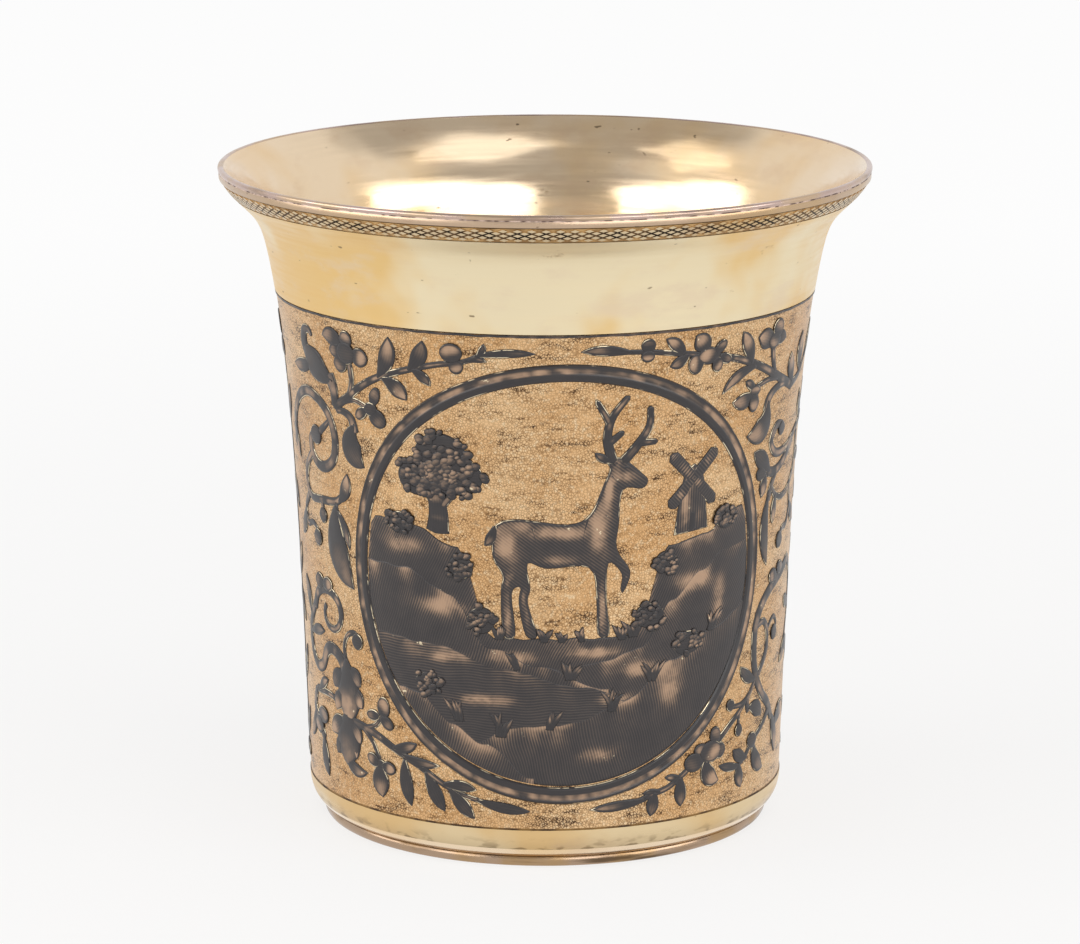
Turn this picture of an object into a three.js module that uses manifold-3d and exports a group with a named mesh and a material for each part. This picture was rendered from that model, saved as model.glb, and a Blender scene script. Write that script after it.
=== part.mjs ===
// Silver-gilt beaker with niello ornament. A raised wall flares to a lip with a rim wire and a milled band,
// a base disc and a foot ring close the bottom, and niello inlays lie on a matted ground round the wall.
import * as THREE from 'three';
import { mergeVertices } from 'three/addons/utils/BufferGeometryUtils.js';
import { TessellateModifier } from 'three/addons/modifiers/TessellateModifier.js';
import Module from 'manifold-3d';

const wasm = await Module();
wasm.setup();

// Cup, in millimetres, standing on z = 0 with its axis on Z
const beakerHeight = 79.1;
const wallThickness = 1.1;
const wallFootRadius = 28.5;
const wallTaper = 0.029;
const flareReach = 4.66;
const flareLength = 15;
const lipReach = 3.45;
const lipDrop = 2.67;
const lipLength = 1.12;

// Rim wire and milled band
const rimWireHeight = 1.5;
const rimOverhang = 0.3;
const milledBandHeight = 1.85;
const milledBandThickness = 0.45;

// Bottom
const footHeight = 1.25;
const footInset = 0.05;
const footWidth = 1.6;
const footRound = 0.35;
const shoulderInset = 1.5;
const shoulderHeight = 3.6;
const shoulderDrop = 2.5;
const flangeWidth = 1.4;
const baseThickness = 0.9;

// Ornament
const plainBandHeight = 13.2;
const medallionHalfWidth = 27;
const medallionMarginBelow = 3.2;
const medallionMarginAbove = 2.9;
const medallionFrameWidth = 2.1;
const borderLineWidth = 0.35;
const inlayThickness = 0.3;
const inlayClearance = 0.12;
const inlaySpacing = 0.35;
const solderGap = 0.05;

// Fineness of the round shapes
const turnSteps = 48;
const wallSteps = 8;
const insideSteps = 3;
const flareSteps = 4;
const shoulderSteps = 4;
const edgeSteps = 4;
const frameSteps = 44;
const landColumns = 28;
const landRows = 4;
const petalSides = 6;
const leafSteps = 2;

// An inlay's longest edge round the wall, how many times longer an upright edge may be,
// and the most times that an edge is halved to get there
const inlayEdge = 4;
const uprightEase = 4;
const splitRounds = 8;
const mergeDistance = 1e-4;

const gilt = { color: 0xd9bd86, roughness: 0.32, metalness: 1 };
const paleGilt = { color: 0xe8d8a8, roughness: 0.25, metalness: 1 };
const wornSilver = { color: 0xd8cbbd, roughness: 0.3, metalness: 1 };
const niello = { color: 0x2b2a2e, roughness: 0.42, metalness: 0.4 };

const shoulderRadius = wallFootRadius - shoulderInset;
const footRadius = shoulderRadius - footInset;
const rimSeat = beakerHeight - rimWireHeight;
const bandBottom = rimSeat - milledBandHeight;
const panelBottom = footHeight + solderGap + shoulderHeight;
const panelTop = rimSeat - plainBandHeight;
const relief = inlayThickness + inlayClearance;
const medallionBottom = panelBottom + medallionMarginBelow;
const medallionTop = panelTop - medallionMarginAbove;
const medallionMiddle = (medallionBottom + medallionTop) / 2;
const medallionHalfHeight = (medallionTop - medallionBottom) / 2;

const beaker = new THREE.Group();

function addPiece(name, geometry, finish) {
  const mesh = new THREE.Mesh(geometry, new THREE.MeshStandardMaterial(finish));
  mesh.name = name;
  beaker.add(mesh);
}

// The wall rises with a slight taper, opens in a long flare and turns out quickly at the lip.
function wallRadius(z) {
  const flare = flareReach * Math.exp((z - rimSeat) / flareLength);
  const lip = lipReach / (1 + Math.exp((rimSeat - lipDrop - z) / lipLength));
  return wallFootRadius + wallTaper * z + flare + lip;
}

// The inside keeps the sheet's thickness square to the sloping wall.
function innerRadius(z) {
  const step = wallThickness / 2;
  const slope = (wallRadius(z + step) - wallRadius(z - step)) / (2 * step);
  return wallRadius(z) - wallThickness * Math.hypot(1, slope);
}

function heights(from, to, steps) {
  return Array.from({ length: steps + 1 }, (_, i) => from + (to - from) * i / steps);
}

function bare(geometry) {
  geometry.deleteAttribute('normal');
  geometry.deleteAttribute('uv');
  return mergeVertices(geometry, mergeDistance);
}

// A closed outline of [radius, height] points, up the outside and down the inside, turned about Z
function turned(outline, steps) {
  const closed = [...outline, outline[0]];
  const points = closed.map(([r, z]) => new THREE.Vector2(r, z));
  const lathe = new THREE.LatheGeometry(points, steps);
  lathe.rotateX(Math.PI / 2);
  return bare(lathe);
}

// An edge from one height to another that swells midway by the given amount
function roundEdge(radius, swell, from, to) {
  return heights(0, Math.PI, edgeSteps).map((angle) => [
    radius + swell * Math.sin(angle),
    from + (to - from) * (1 - Math.cos(angle)) / 2,
  ]);
}

function makeCupWall() {
  const seat = footHeight + solderGap;
  const shoulder = new THREE.QuadraticBezierCurve(
    new THREE.Vector2(shoulderRadius, seat),
    new THREE.Vector2(wallRadius(panelBottom), panelBottom - shoulderDrop),
    new THREE.Vector2(wallRadius(panelBottom), panelBottom),
  );
  const ground = heights(panelBottom, panelTop, wallSteps);
  const plain = heights(panelTop, bandBottom, flareSteps);
  const flange = seat + wallThickness;
  const innerCorner = shoulderRadius - wallThickness / 2;
  const outside = [
    ...shoulder.getPoints(shoulderSteps).map((p) => [p.x, p.y]),
    ...ground.map((z) => [wallRadius(z) - relief, z]),
    ...plain.map((z) => [wallRadius(z), z]),
    [wallRadius(bandBottom) - milledBandThickness, bandBottom],
    [wallRadius(rimSeat) - milledBandThickness, rimSeat],
  ];
  const inside = [...heights(panelBottom, panelTop, insideSteps), ...plain.slice(1), rimSeat].reverse();
  return turned([
    ...outside,
    ...inside.map((z) => [innerRadius(z) - relief, z]),
    [innerCorner, flange],
    [innerCorner - flangeWidth, flange],
    [innerCorner - flangeWidth, seat],
  ], turnSteps);
}

function makeBaseDisc() {
  const seat = footHeight + wallThickness + 2 * solderGap;
  const radius = shoulderRadius - wallThickness / 2 - 2 * solderGap;
  const disc = new THREE.CylinderGeometry(radius, radius, baseThickness, turnSteps);
  disc.rotateX(Math.PI / 2);
  disc.translate(0, 0, seat + baseThickness / 2);
  return bare(disc);
}

function makeFootRing() {
  const inner = footRadius - footWidth;
  return turned([
    ...roundEdge(footRadius - footRound, footRound, 0, footHeight),
    [inner, footHeight],
    [inner, 0],
  ], turnSteps);
}

function makeRimWire() {
  const seat = rimSeat + solderGap;
  const inner = innerRadius(rimSeat) - relief;
  return turned([
    ...roundEdge(wallRadius(rimSeat), rimOverhang, seat, beakerHeight),
    ...roundEdge(inner, -rimOverhang, beakerHeight, seat),
  ], turnSteps);
}

function makeMilledBand() {
  const bottom = bandBottom + solderGap;
  const top = rimSeat - solderGap;
  const back = milledBandThickness - 2 * solderGap;
  return turned([
    [wallRadius(bottom), bottom],
    [wallRadius(top), top],
    [wallRadius(top) - back, top],
    [wallRadius(bottom) - back, bottom],
  ], turnSteps);
}

function makeBorderLine() {
  const top = panelTop - inlayClearance;
  const bottom = top - borderLineWidth;
  return turned([
    [wallRadius(bottom), bottom],
    [wallRadius(top), top],
    [wallRadius(top) - inlayThickness, top],
    [wallRadius(bottom) - inlayThickness, bottom],
  ], turnSteps);
}

// The ornament is sketched flat on the unrolled wall, s to the right of the medallion's middle and z up.
// The marks across are the medallion's middle, its edge and a quarter turn, and the marks up are the panel's
// bottom, the medallion's bottom and top and the panel's top. Between them the sketch is stretched to the
// wall. The front faces -Y.
const sketch = { across: [0, 27.2, 47.12], up: [4.9, 8.1, 61.5, 64.4] };
const sketchHalfWidth = sketch.across[1];
const sketchHalfHeight = (sketch.up[2] - sketch.up[1]) / 2;
const sketchMiddle = (sketch.up[2] + sketch.up[1]) / 2;

function stretched(value, marks, places) {
  const above = marks.findIndex((mark) => mark >= value);
  const next = above < 0 ? marks.length - 1 : Math.max(1, above);
  const share = (value - marks[next - 1]) / (marks[next] - marks[next - 1]);
  return places[next - 1] + share * (places[next] - places[next - 1]);
}

function wallAngle(s) {
  const edge = medallionHalfWidth / wallRadius(medallionMiddle);
  return Math.sign(s) * stretched(Math.abs(s), sketch.across, [0, edge, Math.PI / 2]);
}

function wallHeight(z) {
  return stretched(z, sketch.up, [panelBottom, medallionBottom, medallionTop, panelTop]);
}

// Bends a flat slab round the wall, with its face flush with the wall's own radius.
// A mirrored slab is reflected to the back of the beaker, so its triangles are turned round.
function wrapped(flat, mirrored = false, turn = 0) {
  flat.scale(1, 1 / uprightEase, 1);
  const fine = bare(new TessellateModifier(inlayEdge, splitRounds).modify(flat));
  fine.scale(1, uprightEase, 1);
  const position = fine.getAttribute('position');
  for (let i = 0; i < position.count; i += 1) {
    const along = wallAngle(position.getX(i)) + turn;
    const angle = mirrored ? Math.PI - along : along;
    const z = wallHeight(position.getY(i));
    const radius = wallRadius(z) - inlayThickness + position.getZ(i);
    position.setXYZ(i, radius * Math.sin(angle), -radius * Math.cos(angle), z);
  }
  if (mirrored) {
    fine.index.array.reverse();
  }
  return fine;
}

function slab(shape) {
  const settings = { depth: inlayThickness, bevelEnabled: false, curveSegments: leafSteps };
  return bare(new THREE.ExtrudeGeometry(shape, settings));
}

function solid(geometry) {
  return new wasm.Manifold(new wasm.Mesh({
    numProp: 3,
    vertProperties: new Float32Array(geometry.getAttribute('position').array),
    triVerts: new Uint32Array(geometry.index.array),
  }));
}

function flatGeometry(manifold) {
  const mesh = manifold.getMesh();
  const geometry = new THREE.BufferGeometry();
  geometry.setAttribute('position', new THREE.BufferAttribute(mesh.vertProperties, 3));
  geometry.setIndex(new THREE.BufferAttribute(mesh.triVerts, 1));
  return geometry;
}

function joined(shapes) {
  return shapes.map((shape) => solid(slab(shape))).reduce((all, next) => all.add(next));
}

function polygon(points) {
  return new THREE.Shape(points.map(([s, z]) => new THREE.Vector2(s, z)));
}

// A stem follows a smooth line through its points and changes width from its start to its end.
function stemShape([points, startWidth, endWidth]) {
  const line = new THREE.SplineCurve(points.map(([s, z]) => new THREE.Vector2(s, z)));
  const steps = points.length - 1;
  const left = [];
  const right = [];
  for (let i = 0; i <= steps; i += 1) {
    const t = i / steps;
    const place = line.getPoint(t);
    const ahead = line.getTangent(t);
    const half = (startWidth + (endWidth - startWidth) * t) / 2;
    left.push([place.x - ahead.y * half, place.y + ahead.x * half]);
    right.push([place.x + ahead.y * half, place.y - ahead.x * half]);
  }
  return polygon([...left, ...right.reverse()]);
}

// A leaf is a lens from its base to its tip, bowed to the left of that direction by a positive bow.
function leafShape([baseS, baseZ, tipS, tipZ, width, bow = 0]) {
  const length = Math.hypot(tipS - baseS, tipZ - baseZ);
  const across = [-(tipZ - baseZ) / length, (tipS - baseS) / length];
  const middle = [(baseS + tipS) / 2, (baseZ + tipZ) / 2];
  const near = 2 * bow + width;
  const far = 2 * bow - width;
  const shape = new THREE.Shape();
  shape.moveTo(baseS, baseZ);
  shape.quadraticCurveTo(middle[0] + across[0] * near, middle[1] + across[1] * near, tipS, tipZ);
  shape.quadraticCurveTo(middle[0] + across[0] * far, middle[1] + across[1] * far, baseS, baseZ);
  return shape;
}

function petalShape([s, z, halfLength, halfHeight, tilt = 0]) {
  const turn = THREE.MathUtils.degToRad(tilt);
  const oval = new THREE.EllipseCurve(s, z, halfLength, halfHeight, 0, 2 * Math.PI, false, turn);
  return new THREE.Shape(oval.getPoints(petalSides).slice(1));
}

// The stalk's second half mirrors the first.
function makeStalk({ stem, leaves, petals }, turn) {
  const otherLeaves = leaves.map(([baseS, baseZ, tipS, tipZ, width, bow]) => (
    [-baseS, baseZ, -tipS, tipZ, width, -bow]
  ));
  const otherPetals = petals.map(([s, z, halfLength, halfHeight, tilt = 0]) => (
    [-s, z, halfLength, halfHeight, -tilt]
  ));
  const shapes = [
    stemShape(stem),
    ...[...leaves, ...otherLeaves].map(leafShape),
    ...[...petals, ...otherPetals].map(petalShape),
  ];
  return wrapped(flatGeometry(joined(shapes)), false, turn);
}

function makeSpray(spray, mirrored) {
  const shapes = [
    ...spray.stems.map(stemShape),
    ...spray.leaves.map(leafShape),
    ...spray.petals.map(petalShape),
  ];
  return wrapped(flatGeometry(joined(shapes)), mirrored);
}

// The frame is a flat oval ring, turned about the medallion's middle.
function makeFrame(turn) {
  const inner = sketchHalfWidth * (1 - medallionFrameWidth / medallionHalfWidth);
  const ring = turned([
    [sketchHalfWidth, 0],
    [sketchHalfWidth, inlayThickness],
    [inner, inlayThickness],
    [inner, 0],
  ], frameSteps);
  ring.scale(1, sketchHalfHeight / sketchHalfWidth, 1);
  ring.translate(0, sketchMiddle, 0);
  return wrapped(ring, false, turn);
}

// The skyline eases from each of its points to the next.
function skylineHeight(skyline, s) {
  const next = Math.max(1, skyline.findIndex(([pointS]) => pointS >= s));
  const [fromS, fromZ] = skyline[next - 1];
  const [toS, toZ] = skyline[next];
  return fromZ + (toZ - fromZ) * THREE.MathUtils.smoothstep(s, fromS, toS);
}

// The land fills the lower part of the medallion up to its skyline, in upright columns,
// and stops at this share of the medallion's width.
const landReach = 0.98;

function makeLand(skyline, turn) {
  const gap = medallionFrameWidth + inlaySpacing;
  const halfWidth = sketchHalfWidth * (1 - gap / medallionHalfWidth);
  const halfHeight = sketchHalfHeight * (1 - gap / medallionHalfHeight);
  const land = bare(new THREE.BoxGeometry(2, 1, inlayThickness, landColumns, landRows, 1));
  const position = land.getAttribute('position');
  for (let i = 0; i < position.count; i += 1) {
    const across = landReach * Math.sin(position.getX(i) * Math.PI / 2);
    const s = halfWidth * across;
    const rim = halfHeight * Math.sqrt(1 - across * across);
    const low = sketchMiddle - rim;
    const high = Math.min(sketchMiddle + rim, skylineHeight(skyline, s));
    const z = low + (high - low) * (position.getY(i) + 0.5);
    position.setXYZ(i, s, z, position.getZ(i) + inlayThickness / 2);
  }
  return wrapped(land, false, turn);
}

// A fir has a short trunk and three tiers of boughs, each wider than the one above.
// These are shares of its height, and of its width for the trunk's half and the boughs' narrowing.
const fir = {
  lowest: 0.1, tierRise: 0.25, tierHeight: 0.4, narrowing: 0.25, trunkHeight: 0.6, trunkHalf: 0.08,
};

function firShapes([s, z, height, width]) {
  const tiers = [0, 1, 2].map((tier) => {
    const low = z + height * (fir.lowest + fir.tierRise * tier);
    const half = width * (1 - fir.narrowing * tier) / 2;
    return polygon([[s - half, low], [s + half, low], [s, low + height * fir.tierHeight]]);
  });
  const trunkHalf = width * fir.trunkHalf;
  const trunk = polygon([[s - trunkHalf, z], [s + trunkHalf, z], [s, z + height * fir.trunkHeight]]);
  return [...tiers, trunk];
}

function makeFirs(firs, turn) {
  return wrapped(flatGeometry(joined(firs.flatMap(firShapes))), false, turn);
}

// A broad tree is a trunk under a crown of overlapping round masses.
function makeBroadTree({ trunk, crown }, turn) {
  const shapes = [stemShape(trunk), ...crown.map(petalShape)];
  return wrapped(flatGeometry(joined(shapes)), false, turn);
}

function makeFigure({ outline, stems }, turn) {
  return wrapped(flatGeometry(joined([polygon(outline), ...stems.map(stemShape)])), false, turn);
}

const leftUpper = {
  stems: [
    [[[-30.2, 53.2], [-27.6, 54.8], [-25.2, 56.5], [-22.4, 58], [-19, 59.2], [-15, 60.3], [-11.6, 60.9],
      [-9.7, 61.8]], 0.9, 0.45],
    [[[-27.4, 54.8], [-26.5, 57], [-26.8, 59.8]], 0.6, 0.8],
    [[[-28.4, 54.1], [-26.4, 54.7], [-24, 54]], 0.5, 0.6],
    [[[-29.8, 52.9], [-28.4, 53], [-27.1, 52.3], [-26.7, 50.6]], 0.5, 1.2],
    [[[-30, 53.2], [-29.9, 55.3], [-30.7, 57.2]], 0.8, 1.8],
    [[[-34.6, 58.4], [-35.5, 60.2], [-35, 61.7], [-34, 61.9], [-33.4, 61.2]], 1.6, 0.5],
  ],
  leaves: [
    [-22.4, 58, -20.5, 63.1, 1.7, -0.5],
    [-18.2, 59.4, -16.2, 63.1, 1.5, -0.45],
    [-21.8, 58, -18.6, 55.7, 1.6, 0.3],
    [-17.7, 59.5, -15.5, 57.7, 1, 0.2],
    [-10, 61.6, -9.2, 63.2, 0.7, -0.2],
    [-10.1, 61.7, -3.6, 62.1, 0.8, 0.2],
    [-11, 61, -8.9, 61, 0.6, 0.3],
    [-27.4, 61, -31, 61.8, 1.7, -0.5],
    [-26.6, 51.8, -25.4, 46.7, 2.6, -1.5],
    [-29.9, 56.4, -35.5, 60, 2.9, 0.6],
    [-33.8, 58, -39.4, 57, 1.4, 0.3],
  ],
  petals: [
    [-26.8, 61.9, 0.95, 1],
    [-24.9, 60, 1.25, 1.1],
    [-28.8, 60.3, 1, 0.8],
    [-28.1, 58.8, 1.1, 1],
    [-27, 60.2, 1.4, 1.3],
    [-23.1, 55.6, 0.75, 1.15, -25],
    [-22.9, 53, 1.35, 1, -35],
    [-25.3, 53.3, 1.1, 0.65, 35],
    [-23.8, 54, 0.95, 0.8],
    [-12.9, 61.9, 1.3, 1.1],
    [-12.4, 60.3, 0.85, 0.85],
  ],
};

const leftMiddle = {
  stems: [
    [[[-42.2, 46.2], [-41.8, 49.8], [-39.6, 52.6], [-36.6, 54.1], [-34, 53.8], [-31.9, 52.6],
      [-30.8, 50.8], [-30.5, 48.8], [-31.1, 46.8], [-32.8, 45.6], [-34.8, 45.6], [-36.2, 46.9],
      [-36.2, 48.4], [-35, 49.2]], 1.1, 1.1],
    [[[-31.4, 51.4], [-32.6, 50.5], [-34, 49.5]], 0.5, 0.8],
    [[[-36.2, 46.7], [-38, 45], [-38.6, 42.8], [-37.4, 41.2], [-34.4, 41.3], [-31.4, 41.6],
      [-30, 42.3]], 0.9, 0.8],
    [[[-34.4, 41.4], [-34.3, 39.4]], 0.6, 0.7],
    [[[-38, 41.5], [-39.7, 39.4], [-39.3, 37.5], [-37.6, 37.9], [-36, 37.3]], 0.8, 0.5],
  ],
  leaves: [
    [-30.5, 41.8, -28.6, 45.5, 1.5, -0.5],
    [-31, 41.6, -28.3, 31.5, 3.2, -1.8],
    [-31, 40.6, -28.8, 36.2, 1, 0.4],
    [-41.9, 49.4, -40.6, 45.2, 1.2, -0.3],
    [-39.6, 39.6, -42, 35.6, 1.4, 0.3],
  ],
  petals: [
    [-34.8, 49.1, 1.25, 1.15],
    [-34.3, 39.4, 0.9, 0.9],
    [-36.1, 36.4, 1.05, 1],
  ],
};

const leftLower = {
  stems: [
    [[[-38.4, 27.2], [-37.4, 29.2], [-35.6, 30.2], [-33.6, 30.2], [-31.9, 29.3], [-31.3, 27.7], [-32, 26.2],
      [-33.4, 25.7], [-34.9, 26.2], [-35.4, 27.5], [-34.8, 28.4]], 1.1, 0.6],
    [[[-38.2, 28], [-40.3, 25], [-40.2, 22], [-38.6, 20.3], [-36.6, 20.6], [-35.3, 22.6], [-33.7, 23.2],
      [-31.8, 22.4], [-30.8, 20.6]], 1, 1.4],
    [[[-30.4, 21.4], [-30.9, 23.8], [-30.2, 25.5], [-28.9, 26.1], [-27.9, 25.7]], 0.6, 0.6],
    [[[-31.4, 16.6], [-35, 17.3], [-39.5, 17.1]], 0.6, 0.8],
    [[[-39.2, 17.2], [-40.2, 14.8], [-38.6, 13], [-37, 11.2]], 0.9, 1.2],
    [[[-30.4, 15.3], [-27, 14.8], [-24.5, 14.1], [-22, 13], [-19.5, 12], [-17.5, 11], [-15.5, 9.9],
      [-13.2, 8.9], [-10.4, 8.2]], 0.9, 0.5],
    [[[-27.6, 14.8], [-25.4, 15.5], [-24.2, 16.8]], 0.5, 0.6],
    [[[-27.8, 14.9], [-26, 13.4], [-25, 11.6], [-24.7, 10.4]], 0.55, 0.6],
  ],
  leaves: [
    [-40.2, 24, -35.6, 24.9, 1.1, 0.2],
    [-31.6, 11.4, -27, 9.3, 1.3, -1.1],
    [-38.2, 17.1, -35.2, 19, 1.1, 0.2],
    [-37.3, 11.8, -36.1, 6.8, 1.7, -0.4],
    [-22.6, 13.3, -18.9, 14.3, 1.1, -0.3],
    [-21.2, 12.7, -15.7, 12, 0.9, -0.3],
    [-15.4, 9.8, -11, 9.5, 1.1, 0.2],
    [-20.8, 12.2, -19.9, 6.5, 1.5, -0.3],
    [-17.8, 11.1, -15.2, 6.5, 1.5, -0.1],
    [-14.6, 9.5, -11.3, 6, 1.4, -0.1],
    [-11, 8.3, -4.4, 7.2, 1, -0.2],
    [-24.8, 11, -24.4, 6.8, 2.2, -0.2],
    [-40, 26, -42, 30.6, 1.4, -0.3],
    [-39.6, 15, -42.4, 10.4, 1.3, 0.3],
  ],
  petals: [
    [-36.4, 31, 1.2, 0.95],
    [-34.2, 31, 1.2, 0.85],
    [-29.6, 20.7, 1.5, 1.7],
    [-29.2, 18.2, 1.6, 1.5],
    [-32.2, 19.2, 1.4, 1.5],
    [-30.8, 16.8, 1.7, 2.6],
    [-33.2, 13.6, 1.5, 1.3],
    [-29.6, 13.4, 1.5, 1.4],
    [-31, 12.4, 2.2, 2.1],
    [-28.1, 25.2, 1, 0.95],
    [-37.2, 14.2, 1.5, 1],
    [-38.6, 12.8, 1.4, 1.1],
    [-23.9, 17.9, 1, 1.3],
    [-25.7, 16.7, 1.1, 0.65],
    [-23.4, 16.1, 1.1, 0.7, -30],
    [-25.9, 11.2, 1.1, 0.75, -25],
    [-23.3, 10.6, 1.1, 0.75, -10],
    [-24.6, 10.6, 0.9, 0.8],
  ],
};

const rightUpper = {
  stems: [
    [[[34, 54.2], [31, 55.4], [28.4, 56.6], [25.4, 58], [22.4, 59.2], [19.4, 60.1], [16, 60.8], [12.4, 61.4],
      [9, 61.9], [5.6, 62.1]], 1, 0.45],
    [[[28.5, 56.5], [27.7, 58.4], [27.2, 60.4]], 0.6, 0.8],
    [[[29.4, 56], [27, 56.2], [24.6, 55.7]], 0.5, 0.6],
    [[[32, 55], [29.4, 54.9], [27.6, 53.9], [27.1, 52.2]], 0.6, 1.2],
    [[[33.4, 54.4], [36.4, 55.2], [39.6, 57.4]], 0.9, 0.6],
  ],
  leaves: [
    [6.8, 62, 1.2, 62.3, 1, -0.2],
    [13.2, 61.2, 10.7, 63.3, 1.2, -0.2],
    [13.7, 61.2, 11.4, 59.9, 1.1, 0.2],
    [16.2, 61, 14.4, 63.3, 1.8, -0.2],
    [23.4, 58.7, 21.2, 62.9, 1.5, -0.2],
    [27.4, 60.3, 24, 61.7, 2, -0.3],
    [27.2, 60.5, 30.2, 60.7, 1.4, 0.4],
    [24.2, 58.3, 18.8, 55.7, 1.1, -0.7],
    [24.6, 55.2, 20.5, 54.5, 1.6, 0.5],
    [24.4, 55.4, 22.5, 56.7, 0.9, -0.1],
    [27.4, 53.6, 23.5, 49.9, 2.5, 1.7],
    [36.6, 55.4, 36.2, 60.4, 1.8, 0.5],
    [39, 56.8, 41.6, 61, 1.5, -0.3],
    [34, 54.6, 32.6, 58.6, 1.6, 0.4],
  ],
  petals: [
    [8.7, 62.7, 0.85, 0.75],
    [8.7, 61.4, 0.8, 0.65],
    [18, 61.6, 1, 0.6, 40],
    [18.8, 60.1, 1, 0.6, -20],
    [17.7, 59.5, 0.75, 0.9],
    [14.7, 59.9, 1, 1.2],
    [16.4, 60.7, 1.5, 1],
    [27.9, 62.3, 1.1, 1.1],
    [27.3, 60.9, 1.2, 1],
    [24.3, 53.9, 0.9, 1.1],
    [24.4, 55.3, 1, 0.7],
  ],
};

const rightMiddle = {
  stems: [
    [[[42.2, 49.4], [38, 48.4], [34, 46.9], [30.6, 46.7], [29, 48.3], [30.2, 50.1],
      [32.2, 49.7]], 0.9, 0.9],
    [[[36.4, 47.6], [33, 45.3], [30.4, 44.5], [28.2, 44.9]], 1, 1],
    [[[31.2, 44.6], [29.8, 42.8], [29.2, 41]], 0.7, 0.9],
    [[[29.8, 42.8], [31.2, 41.4], [33.6, 40.9], [36.4, 41.8], [38.8, 44.6], [38.6, 48]], 0.6, 0.9],
    [[[36.2, 41.8], [37.4, 39], [36.2, 36.9], [34.4, 36.7], [33.6, 35.7]], 0.8, 0.6],
  ],
  leaves: [
    [29.2, 44.6, 25.2, 47.7, 1.8, -0.2],
    [28, 44.9, 27.4, 41.8, 1.3, 0.1],
    [29.3, 41.8, 29.8, 33.1, 1.6, -0.9],
    [31.2, 41.6, 30.8, 38, 1.2, -0.1],
    [40.4, 48.9, 38.6, 53, 1.7, 0.4],
    [37, 39.4, 41.2, 36.4, 1.5, -0.3],
    [38.4, 44.4, 42, 44.6, 1.3, 0.2],
  ],
  petals: [
    [27, 44.8, 1, 0.8],
    [33.4, 35.5, 1, 1],
    [31.6, 49.5, 0.9, 0.8],
  ],
};

const rightLower = {
  stems: [
    [[[38.6, 32.4], [35, 31.2], [31.4, 30], [29, 28.3], [27.8, 26.2], [27.6, 24], [27.8, 21.7], [28.6, 19.4],
      [30.2, 17.3], [32.2, 15.6], [33.8, 13.4]], 1.2, 1],
    [[[28, 26], [29.8, 26.3], [31, 24.8], [30.8, 22.2], [28.8, 19.8]], 0.7, 0.8],
    [[[30.9, 25], [32.8, 26.2], [34, 25.2], [33.2, 24.2]], 0.5, 0.5],
    [[[28.4, 19.8], [27, 18], [25.2, 17.1], [23.4, 17.1]], 0.6, 0.5],
    [[[26.9, 18], [26.5, 16.8], [27, 15.8]], 0.6, 0.8],
    [[[26.4, 17.6], [24.8, 16.2], [23, 15], [20.2, 12.9]], 0.5, 0.8],
    [[[24.8, 16.4], [24.7, 14.2]], 0.45, 0.5],
    [[[16.6, 11.2], [14.8, 10], [13, 9], [11, 8.5], [9, 7.8]], 0.6, 0.6],
    [[[25, 9.6], [26.4, 10.3], [28, 11.8], [30.5, 13.2], [32.6, 14.8]], 0.5, 0.8],
    [[[38.2, 32.4], [40.6, 29.8], [41, 25.4], [39, 21.6]], 0.9, 0.6],
  ],
  leaves: [
    [28.2, 19.6, 24.7, 21.8, 1.3, 0.5],
    [26.8, 16.2, 30.2, 14.6, 1.6, 0.5],
    [19, 11.8, 21.2, 8.6, 1.9, -1],
    [14.8, 10, 12.6, 10.3, 0.7, 0],
    [14.9, 10, 15, 6.4, 1.4, 0],
    [12, 8.7, 9.6, 8.7, 0.6, -0.1],
    [11.3, 8.7, 10.7, 5.8, 1.3, 0],
    [10, 8, 2.8, 7.3, 0.95, 0.1],
    [25.4, 9.5, 21.1, 10.3, 0.9, 0.2],
    [25.1, 9.8, 25.7, 6.7, 1.4, -0.2],
    [26.8, 10.2, 23.8, 11.7, 1.3, 0.3],
    [28.4, 11.6, 31.3, 7.9, 1.7, -0.8],
    [33.6, 14, 35.8, 8.6, 1.7, 0.4],
    [39.6, 22.6, 36.4, 19.6, 1.5, 0.3],
    [40.8, 26.4, 37.2, 27.6, 1.4, 0.3],
    [34.6, 12, 40.4, 13.6, 1.8, 0.6],
  ],
  petals: [
    [31.9, 31.4, 1.2, 0.9],
    [34.2, 32, 1.1, 0.8],
    [33.2, 24.2, 0.9, 0.9],
    [22.9, 17.4, 0.75, 0.7],
    [24.7, 14, 0.7, 0.75],
    [20.3, 14.2, 0.9, 1.1],
    [18, 12.9, 1.1, 0.7],
    [16.9, 11.5, 1.5, 1.1],
    [21.1, 12.3, 1, 1],
    [19.6, 12.4, 1.8, 1.3],
    [27.9, 12, 1.1, 1],
    [39.4, 21.4, 1, 1],
  ],
};

// Half of the stalk that stands midway between the medallions, drawn to the right of its own axis.
const stalk = {
  stem: [[[0, 7.4], [0, 20], [0, 34], [0, 48], [0, 60]], 0.7, 0.7],
  leaves: [
    [0, 9.6, 3, 13.6, 1.4, -0.3],
    [0, 16.4, 3.2, 21.4, 1.5, -0.4],
    [0, 28, 3.2, 24.2, 1.4, 0.3],
    [0, 29.4, 2.8, 34, 1.4, -0.3],
    [0, 42, 3.2, 38.2, 1.4, 0.3],
    [0, 48.6, 2.8, 53.4, 1.5, -0.4],
  ],
  petals: [
    [1, 57.4, 1.2, 0.9, 35],
    [0, 60.4, 0.9, 1.5],
    [1, 7.8, 1.1, 0.8, -30],
  ],
};

const sprays = {
  left: { upper_spray: leftUpper, middle_scroll: leftMiddle, lower_spray: leftLower },
  right: { upper_spray: rightUpper, middle_scroll: rightMiddle, lower_spray: rightLower },
};

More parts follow.
